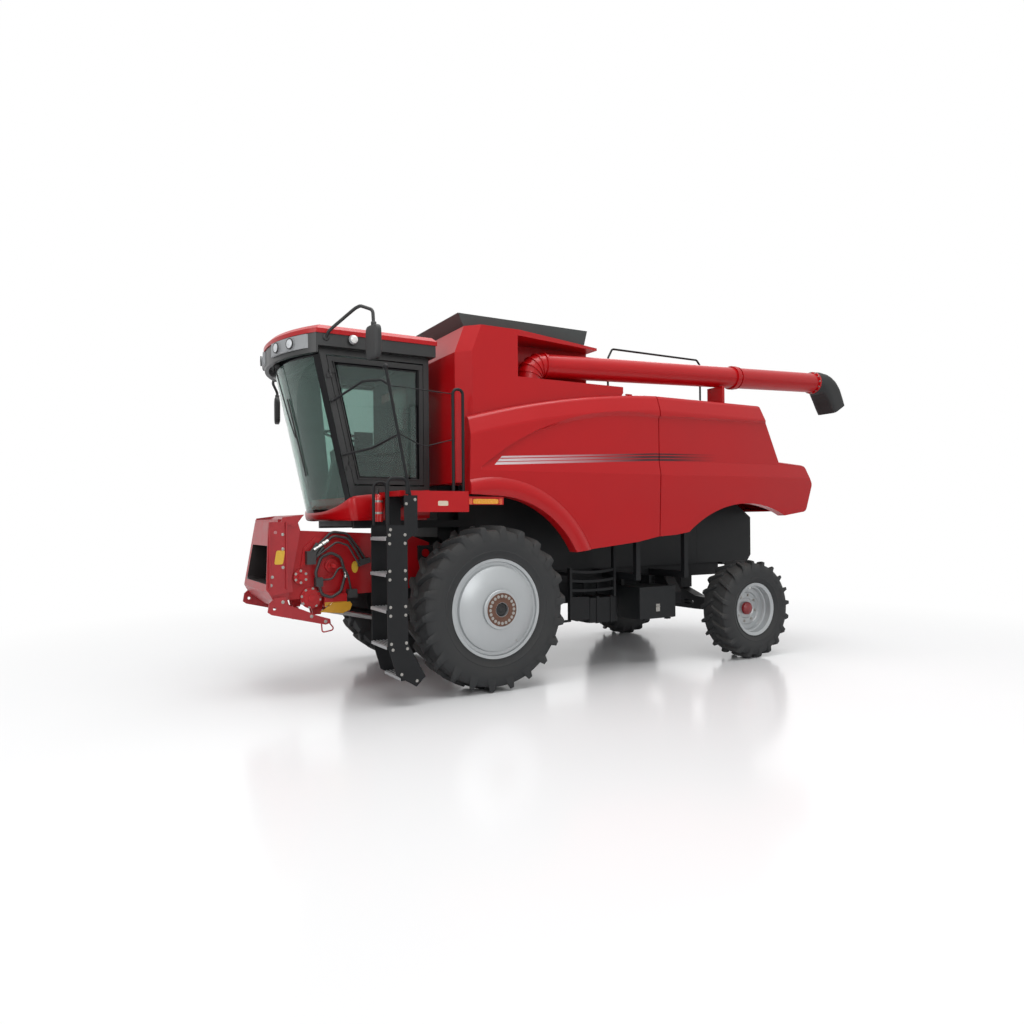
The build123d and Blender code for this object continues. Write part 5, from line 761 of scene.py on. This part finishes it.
mirror_silver = finish("mirror_silver", (0.72, 0.74, 0.75), 0.06, metallic=0.9, mottle=0.0)
for side, sx, head_y, head_z, way in (
        ("left", 1.0, -1.300, 3.395, ((0.838, -1.600, 3.520), (0.900, -1.590, 3.570), (1.170, -1.385, 3.770),
                                      (1.315, -1.300, 3.700), (1.335, -1.300, 3.540))),
        ("right", -1.0, -1.560, 3.110, ((-0.838, -1.660, 3.500), (-0.930, -1.660, 3.500), (-1.200, -1.640, 3.420),
                                        (-1.310, -1.560, 3.330), (-1.310, -1.560, 3.255)))):
    turn = math.radians(sx * 12)
    across = np.array((math.cos(turn), math.sin(turn), 0.0))
    back = np.array((-math.sin(turn), math.cos(turn), 0.0))
    head_place = placed((sx * 1.326, head_y, head_z))
    arm_way = placed(way)
    pieces = [rounded_block("head", head_place, (0.200, 0.068, 0.320), turn),
              tube("arm", arm_way, 0.0160, 16, bend=0.12),
              turned("clamp", ((0.0, 0.0003), (0.0, 0.026), (0.052, 0.026), (0.056, 0.020), (0.056, 0.0003)),
                     arm_way[-1] + (0.0, 0.0, -0.010), 24, facing=(0.0, 0.0, 1.0)),
              turned("foot", ((0.0, 0.0003), (0.0, 0.034), (0.010, 0.034), (0.014, 0.026), (0.014, 0.0003)),
                     arm_way[0], 24, facing=(sx, 0.0, 0.0))]
    fit(joined("mirror_body_" + side, pieces), "chassis", plastic_black, "mirror_" + side)
    angle = np.linspace(0, 2 * math.pi, 48, endpoint=False)
    # The glass is a circle pushed out by the fifth power, 156 mm wide and 272 mm high
    push = pushed(angle, 5.0)
    face = (head_place + back * 0.0335 + across * (0.078 * np.cos(angle) * push)[:, None]
            + np.array((0.0, 0.0, 0.136)) * (np.sin(angle) * push)[:, None])
    fit(slab("mirror_glass_" + side, face[::-1], 0.0025, 0.002), "chassis", mirror_silver)

# Cab lining: dark grey moulded panels on the rear wall and the far side and a headliner, which leave the
# rear and far side panes as small lights.
lining = finish("cab_lining", (0.030, 0.033, 0.035), 0.78, grain=0.4, grain_scale=600.0, mottle=0.15,
                mottle_scale=9.0)
rear_wall_y, far_side_x = -0.545, -0.686
rear_plates = (
    # left, right, low, high
    (-0.690, 0.685, 2.000, 2.760), (0.330, 0.685, 2.750, 3.375), (-0.690, -0.420, 2.750, 3.375),
    (-0.420, 0.330, 3.230, 3.375),
)
far_plates = (
    # front and rear at the foot, rear and front at the top, low, high
    (-1.330, -1.090, -1.220, -1.640, 2.030, 3.380), (-1.020, -0.950, -0.950, -1.020, 2.030, 3.380),
    (-0.800, -0.560, -0.560, -0.800, 2.030, 2.820),
)
plates = [[(x, rear_wall_y, z) for x, z in ((left, low), (right, low), (right, high), (left, high))]
          for left, right, low, high in rear_plates]
plates += [[(far_side_x, y, z) for y, z in ((foot_front, low), (foot_rear, low), (top_rear, high), (top_front, high))]
           for foot_front, foot_rear, top_rear, top_front, low, high in far_plates]
for number, corners in enumerate(plates):
    fit(slab("lining_%d" % number, placed(corners), 0.006, 0.003), "chassis", lining)
headliner = slab("headliner", placed([(-0.68, -0.56, 3.4375), (-0.68, -1.60, 3.4375), (0.68, -1.60, 3.4375),
                                      (0.68, -0.56, 3.4375)]), 0.010, 0.004)
fit(headliner, "chassis", lining)

# Cab skirt: a red moulded cover that runs along both sills and round the foot of the windscreen, bowed
# outward over its height; it is clipped to the cab base.
sill_x, sill_rear_y, screen_foot_z = 0.7412, -0.475, 1.80
screen_radius = (0.731 ** 2 + screen_rise ** 2) / (2 * screen_rise)


def skirt_skin(bow):
    """One skin of the cover: rings along the cab and round its front, in steps of height.

    In plan the front is the windscreen's arc (its radius plus lift) for |u| <= 1, and beyond it the side
    line x = sill_x + lift. The lift is 0.001 + bow * sqrt(sin(pi * v)); the corner is eased by a running
    mean. The lower edge is nearly level, and the upper one climbs from the middle of the front to the sills.
    """
    u, v = np.meshgrid(np.linspace(-2.0, 2.0, 161), np.linspace(0.0, 1.0, 15), indexing="ij")
    front = np.clip(np.abs(u), 0, 1)
    side = np.clip(np.abs(u) - 1, 0, 1)
    low = 1.760 - 0.012 * front ** 2 + 0.024 * side
    high = 1.836 + 0.150 * front ** 3 + 0.078 * side ** 0.8
    z = low + (high - low) * v
    lift = 0.001 + bow * np.sqrt(np.sin(math.pi * v) + 1e-9)
    radius = screen_radius + lift
    corner_angle = np.arcsin((sill_x + lift) / radius)
    centre_y = pillar_line(np.maximum(z, screen_foot_z)) - screen_step - screen_rise + screen_radius
    corner_y = centre_y - radius * np.cos(corner_angle)
    angle = np.sign(u) * front * corner_angle
    y = np.where(np.abs(u) <= 1, centre_y - radius * np.cos(angle),
                 corner_y + (front_axle_y + sill_rear_y - corner_y) * side)
    points = np.stack([radius * np.sin(angle), y, z], axis=-1)
    eased = points.copy()
    eased[2:-2] = (points[:-4] + points[1:-3] + points[2:-2] + points[3:-1] + points[4:]) / 5
    # The mean would draw the corner in on the pillar's foot, so it is set out again by 2 mm
    eased[2:-2, :, 0] += np.sign(u[2:-2]) * 0.002 * (np.abs(np.abs(u[2:-2]) - 1) < 0.06)
    return eased


skirt_rings = np.concatenate([skirt_skin(0.020), skirt_skin(0.0)[:, ::-1]], axis=1)
fit(crisp(skin("cab_skirt", skirt_rings, wrap_columns=True), 40), "chassis", body_red)

# Seat: two foam cushions in dark woven cloth on a black base, each crowned, drawn in along its piping
# between the corners and sewn with three channels.
def cushion(name, centre, size, crown, channels, upright=0.0):
    """Crowned pad over two angles b and a, tilted back by upright.

    (x, y, z) = (|cos b|^0.28 |cos a|^0.22, |cos b|^0.28 |sin a|^0.22, |sin b|^0.5), each with the sign of its
    sine or cosine. A point is x and y times half the size, drawn in by 2.5 percent at mid side, and z times
    half the height, with crown * ((1 - x^2)(1 - y^2) - 1) on top and a 6 mm groove along each channel.
    """
    b, a = np.meshgrid(np.linspace(-math.pi / 2, math.pi / 2, 41), np.linspace(-math.pi, math.pi, 96, endpoint=False),
                       indexing="ij")
    x, y, z = (np.sign(value) * np.abs(value) ** reach for value, reach in (
        (np.cos(a), 0.22), (np.sin(a), 0.22), (np.sin(b), 0.5)))
    x, y = x * np.abs(np.cos(b)) ** 0.28, y * np.abs(np.cos(b)) ** 0.28
    pull = 1.0 - 0.025 * (1 - x ** 2) * np.abs(y) ** 6
    tuck = 1.0 - 0.025 * (1 - y ** 2) * np.abs(x) ** 6
    top = np.where(z > 0, z * (0.5 * size[2] + crown * ((1 - x ** 2) * (1 - y ** 2) - 1)), z * 0.5 * size[2])
    groove = np.exp(-((x[..., None] - np.asarray(channels)) / 0.035) ** 2).sum(axis=-1)
    across, along, above = x * tuck * size[0] / 2, y * pull * size[1] / 2, top - 0.006 * groove * (z > 0.4)
    cosine, sine = math.cos(upright), math.sin(upright)
    tilted = np.stack([across, along * cosine + above * sine, above * cosine - along * sine], axis=-1)
    return skin(name, tilted + np.asarray(centre), wrap_columns=True)


weave = finish("seat_cloth", (0.030, 0.031, 0.034), 0.88, grain=0.9, grain_scale=900.0, mottle=0.25,
               mottle_scale=25.0)
channels = (-0.45, 0.0, 0.45)
seat_pad = cushion("seat_cushion", placed((0.0, -0.890, 2.4203)), (0.492, 0.492, 0.116), 0.014, channels)
back_pad = cushion("back_cushion", placed((0.0, -0.665, 2.7806)), (0.472, 0.590, 0.106), 0.016, channels,
                   math.radians(90))
for pad in (seat_pad, back_pad):
    fit(pad, "chassis", weave, "seat")

# Platform and ladder: a red folded edge beam round a black floor, with a black ladder bolted below it. Its
# treads are pale punched steel, and the outer side plate carries pairs of bright bolts.
tread_steel = finish("tread_steel", (0.36, 0.37, 0.38), 0.50, metallic=0.45, grain=0.4, grain_scale=200.0, dust=0.25,
                     mottle=0.25, mottle_scale=20.0)
coat(body_red, "platform")
coat(frame_black, "ladder", "guard_rails")
ladder_plate_x = 1.4055
ladder_bolts = placed([(ladder_plate_x, y, z) for y, z in (
    (-1.190, 1.610), (-1.190, 1.530), (-1.190, 1.275), (-1.190, 1.195), (-1.185, 0.940), (-1.185, 0.860),
    (-1.180, 0.600), (-1.165, 0.545), (-1.035, 1.610), (-1.035, 1.530), (-1.035, 1.275), (-1.035, 1.195),
    (-1.035, 0.940), (-1.035, 0.860), (-1.030, 0.600), (-1.020, 0.545), (-1.080, 0.310), (-0.925, 0.235),
    (-1.180, 1.660), (-0.930, 1.940), (-1.020, 1.900))])
bolted("ladder_bolts", "chassis", ladder_bolts, (1.0, 0.0, 0.0), 0.0095, 0.006)
for number, (tread_y, tread_z) in enumerate(((-1.120, 1.570), (-1.125, 1.235), (-1.125, 0.900), (-1.120, 0.565),
                                             (-0.985, 0.262))):
    ribs = [tube("rib", placed([(x, tread_y + step, tread_z + 0.0145) for x in (0.998, 1.392)]), 0.0065, 8)
            for step in (-0.085, -0.051, -0.017, 0.017, 0.051, 0.085)]
    fit(joined("tread_ribs_%d" % number, ribs), "chassis", tread_steel)
    lip = slab("tread_lip_%d" % number, placed([(x, tread_y - 0.1005, tread_z + up) for x, up in (
        (0.996, -0.013), (1.394, -0.013), (1.394, 0.016), (0.996, 0.016))]), 0.004, 0.0015)
    fit(lip, "chassis", tread_steel)

# Reflectors and blank labels: plastic reflector strips and plain printed film stuck on the sheet, all left
# without words.
amber = finish("reflector_amber", (0.72, 0.30, 0.012), 0.25, coat=0.5, grain=0.4, grain_scale=900.0, mottle=0.08,
               mottle_scale=90.0)
orange = finish("reflector_orange", (0.60, 0.075, 0.012), 0.25, coat=0.5, grain=0.4, grain_scale=900.0, mottle=0.08,
                mottle_scale=90.0)
label_yellow = finish("label_yellow", (0.66, 0.40, 0.03), 0.42, coat=0.15, mottle=0.10, mottle_scale=40.0)
label_cream = finish("label_cream", (0.62, 0.52, 0.40), 0.45, coat=0.1, mottle=0.10, mottle_scale=40.0)


def label(name, corner, wide, high, lift, colour, body="chassis", rounding=8.0):
    """Thin plate with rounded corners, from its low corner behind the front axle and its two edges.

    The outline is centre + wide/2 * c + high/2 * s, with (c, s) a circle pushed out by the power rounding.
    """
    wide, high = np.asarray(wide, dtype=float), np.asarray(high, dtype=float)
    angle = np.linspace(0, 2 * math.pi, 40, endpoint=False)
    push = pushed(angle, rounding)
    outline = (placed(corner) + wide / 2 + high / 2 + wide / 2 * (np.cos(angle) * push)[:, None]
               + high / 2 * (np.sin(angle) * push)[:, None])
    return fit(slab(name, outline, lift, min(0.0006, lift / 2)), body, colour)


beam_x = 1.3003
label("marker_strip", (beam_x, -0.255, 1.905), (0, 0.290, 0), (0, 0, 0.050), 0.006, amber)
label("marker_end_front", (beam_x, -0.300, 1.900), (0, 0.034, 0), (0, 0, 0.060), 0.007, orange)
label("marker_end_rear", (beam_x, 0.046, 1.900), (0, 0.034, 0), (0, 0, 0.060), 0.007, orange)
label("beam_label", (beam_x, -0.640, 1.885), (0, 0.110, 0), (0, 0, 0.048), 0.0008, label_cream)
label("right_marker", (-beam_x, 3.620, 1.905), (0, -0.120, 0), (0, 0, 0.050), 0.004, amber)

# Extinguisher: a bright red pressed steel bottle with a moulded black valve, held between the rail hoops
# by two bare steel straps.
bottle_red = finish("bottle_red", (0.55, 0.010, 0.008), 0.28, coat=0.4, mottle=0.06, mottle_scale=12.0)
bottle_place = placed((0.9445, -1.128, 1.735))
bottle = turned("extinguisher", ((0.0, 0.0003), (0.0, 0.046), (0.006, 0.050), (0.225, 0.050), (0.250, 0.044),
                                 (0.266, 0.030), (0.272, 0.017), (0.272, 0.0003)), bottle_place, 40,
                facing=(0.0, 0.0, 1.0))
fit(crisp(bottle, 40), "chassis", bottle_red)
valve_body = turned("extinguisher_valve", ((0.2722, 0.0003), (0.2722, 0.018), (0.300, 0.018), (0.304, 0.012),
                                           (0.322, 0.010), (0.326, 0.0003)), bottle_place, 24,
                    facing=(0.0, 0.0, 1.0))
fit(crisp(valve_body, 30), "chassis", plastic_black)
for number, level in enumerate((0.075, 0.190)):
    strap = turned("extinguisher_strap_%d" % number, ((level, 0.0505), (level, 0.0525), (level + 0.020, 0.0525),
                                                      (level + 0.020, 0.0505)), bottle_place, 40, wrap=True,
                   facing=(0.0, 0.0, 1.0))
    fit(crisp(strap, 30), "chassis", bolt_steel)

# Feeder: red sprayed plates and box, paler and pinker in patches on faces that look up, with a black
# conveyor inside. The hoses are black rubber with bright couplers, and the stop plates are ochre.
feeder_paint_red = finish("feeder_red", (0.34, 0.004, 0.010), 0.42, coat=0.12, grain=0.12, grain_scale=300.0, dust=0.10,
                  # Its film is pale pinkish red and is thickest on faces that look up
                  mottle=0.22, mottle_scale=9.0, dust_colour=(0.45, 0.20, 0.16))
house_red = red_paint("house_red", (0.36, 0.002, 0.006), dust=0.06)
chain_steel = finish("chain_steel", (0.050, 0.047, 0.045), 0.55, metallic=0.6, grain=0.3, grain_scale=200.0, dust=0.2,
                     mottle=0.3, mottle_scale=25.0)
hose_rubber = finish("hose_rubber", (0.020, 0.020, 0.022), 0.50, grain=0.7, grain_scale=700.0, dust=0.12)
coat(feeder_paint_red, "feeder_frame", "header_latches")
throat_low, throat_high, throat_half_wide = 1.1285, 1.5005, 0.5006
# Inside the throat the frame's faces are painted near black: painted shade, where the opening lies in shadow
number, axes = sums(feeder_paint_red.node_tree), axes_of(feeder_paint_red.node_tree)
throat_shade_mask = number("MULTIPLY", number("COMPARE", axes["X"], 0.0, throat_half_wide),
                number("COMPARE", axes["Z"], (throat_low + throat_high) / 2, (throat_high - throat_low) / 2))
painted_over(feeder_paint_red, throat_shade_mask, (0.012, 0.008, 0.008, 1.0))
# Painted shade inside the duct: a near-black sheet at three places behind the front axle: its low and high edge
shade_sheet_way, shade_sheet_half_wide = ((-1.905, 0.9925, 1.500), (-1.815, 0.9960, 1.638), (-0.700, 1.0325, 1.587)), 0.5245
shade_sheet_rings = placed([[(side * shade_sheet_half_wide, y, z) for side, z in ((-1, low), (1, low), (1, high), (-1, high))]
                       for y, low, high in shade_sheet_way])
duct_shade_sheet = skin("duct_shade_sheet", shade_sheet_rings, wrap_columns=True, sharp=True)
# The sheet is painted shade: it darkens the inside of the duct as shadow would
fit(duct_shade_sheet, "feeder", finish("duct_painted_shade", (0.014, 0.010, 0.010), 0.6, metallic=0.3, grain=0.3,
                                                   dust=0.1, mottle=0.3, mottle_scale=14.0))
coat(house_red, "feeder_house")
coat(chain_steel, "feeder_chain")
coat(hose_rubber, "feeder_hoses")
drive_red = red_paint("drive_red", (0.40, 0.004, 0.008), 0.36, 0.08)
number, axes = sums(drive_red.node_tree), axes_of(drive_red.node_tree)
stops = number("MULTIPLY", number("GREATER_THAN", axes["X"], 0.5875), number("LESS_THAN", axes["Z"], 0.935))
ochre = (0.52, 0.26, 0.022, 1.0)
painted_over(drive_red, stops, ochre)
coat(drive_red, "feeder_drive")
for side, sx in sides:
    ahead = (sx, 0.0, 0.0)
    rings = np.concatenate([ring_places(placed((sx * 0.562, -1.690, 0.985)), 0.093, 8, 0, 0.2),
                            ring_places(placed((sx * 0.566, -1.791, 1.199)), 0.058, 6, 0)])
    bolted("bearing_bolts_" + side, "feeder", rings, ahead, 0.0085, 0.006)
    latch = placed([(sx * 0.6100, y, z) for y, z in ((-1.980, 0.965), (-1.700, 0.808), (-1.560, 0.748))])
    bolted("latch_bolts_" + side, "feeder", latch, ahead, 0.011, 0.007)
coupler_steel = finish("coupler_steel", (0.62, 0.62, 0.60), 0.24, metallic=0.75, grain=0.08, mottle=0.15,
                       mottle_scale=40.0)
sleeves = (
    # name, start, end, radius
    ("hose_sleeve_0", (0.606, -1.673, 1.462), (0.612, -1.590, 1.515), 0.0175),
    ("hose_sleeve_1", (0.606, -1.585, 1.518), (0.608, -1.524, 1.554), 0.0205),
    ("hose_sleeve_2", (0.612, -1.352, 1.245), (0.612, -1.352, 1.175), 0.0185),
)
for name, start, end, radius in sleeves:
    start, end = placed((start, end))
    run = end - start
    long = float(np.linalg.norm(run))
    sleeve = turned(name, ((0.0, radius * 0.8), (0.003, radius), (0.3 * long, radius), (0.34 * long, radius * 0.86),
                           (0.60 * long, radius * 0.86), (0.64 * long, radius), (long - 0.003, radius),
                           (long, radius * 0.8)), start, 28, facing=run)
    fit(crisp(sleeve, 30), "feeder", coupler_steel)
face_x = 0.6023
label("feeder_label_0", (face_x, -2.060, 1.330), (0, 0.085, 0), (0, 0.022, 0.135), 0.0008, label_yellow, "feeder")
label("feeder_label_1", (0.5403, -1.262, 1.215), (0, 0.070, 0), (0, 0, 0.120), 0.0008, label_yellow, "feeder",
      rounding=2.0)
frame_bolts = placed([(face_x, y, z) for y, z in ((-2.092, 1.130), (-2.078, 1.210), (-1.975, 1.300), (-1.975, 1.480),
                                                  (-1.975, 1.620))])
bolted("frame_bolts", "feeder", frame_bolts, (1.0, 0.0, 0.0))

# Tool box: folded steel sheet sprayed black, welded to the frame, with a drop-down door on a hinge along
# its foot. A zinc-plated plate with a bent wire grip latches the door.
coat(sheet_black, "tool_box", "tool_box_door")
latch_corners = placed([(1.0752, y, z) for y, z in ((2.330, 0.640), (2.390, 0.640), (2.390, 0.730), (2.330, 0.730))])
fit(slab("box_latch_plate", latch_corners, 0.004, 0.0015), "box_door", bolt_steel)
grip_way = placed([(1.0790, 2.338, 0.700), (1.0960, 2.340, 0.700), (1.0960, 2.380, 0.700), (1.0790, 2.382, 0.700)])
fit(tube("box_latch_grip", grip_way, 0.0045, 10, bend=0.25), "box_door", bolt_steel)

# Screens behind the louvres of the engine cover: woven dark wire that keeps chaff out, clamped to the cover's
# inner face behind the slots of the deck and of the rear slope.
screen_wire = finish("screen_wire", (0.018, 0.018, 0.019), 0.62, metallic=0.4, grain=0.6, grain_scale=420.0,
                     dust=0.06)
cover_top, cover_thickness, screen_sheet = 3.130, 0.024, 0.006
screen_depth = cover_thickness + screen_sheet + 0.0001
deck_corners = placed([(-0.480 + x, 2.900 + y, cover_top - screen_depth) for x, y in (
    (-0.34, -0.51), (0.34, -0.51), (0.34, 0.51), (-0.34, 0.51))])
fit(slab("deck_screen", deck_corners, screen_sheet, 0.002), "chassis", screen_wire)
slope_middle = placed((0.0, 4.131, 2.742)) - np.array((0.0, 0.898, 0.440)) * screen_depth
slope_corners = slope_middle + np.array([(x, -0.440 * up, 0.898 * up) for x, up in (
    (0.73, -0.20), (-0.73, -0.20), (-0.73, 0.20), (0.73, 0.20))])
fit(slab("rear_screen", slope_corners, screen_sheet, 0.002), "chassis", screen_wire)
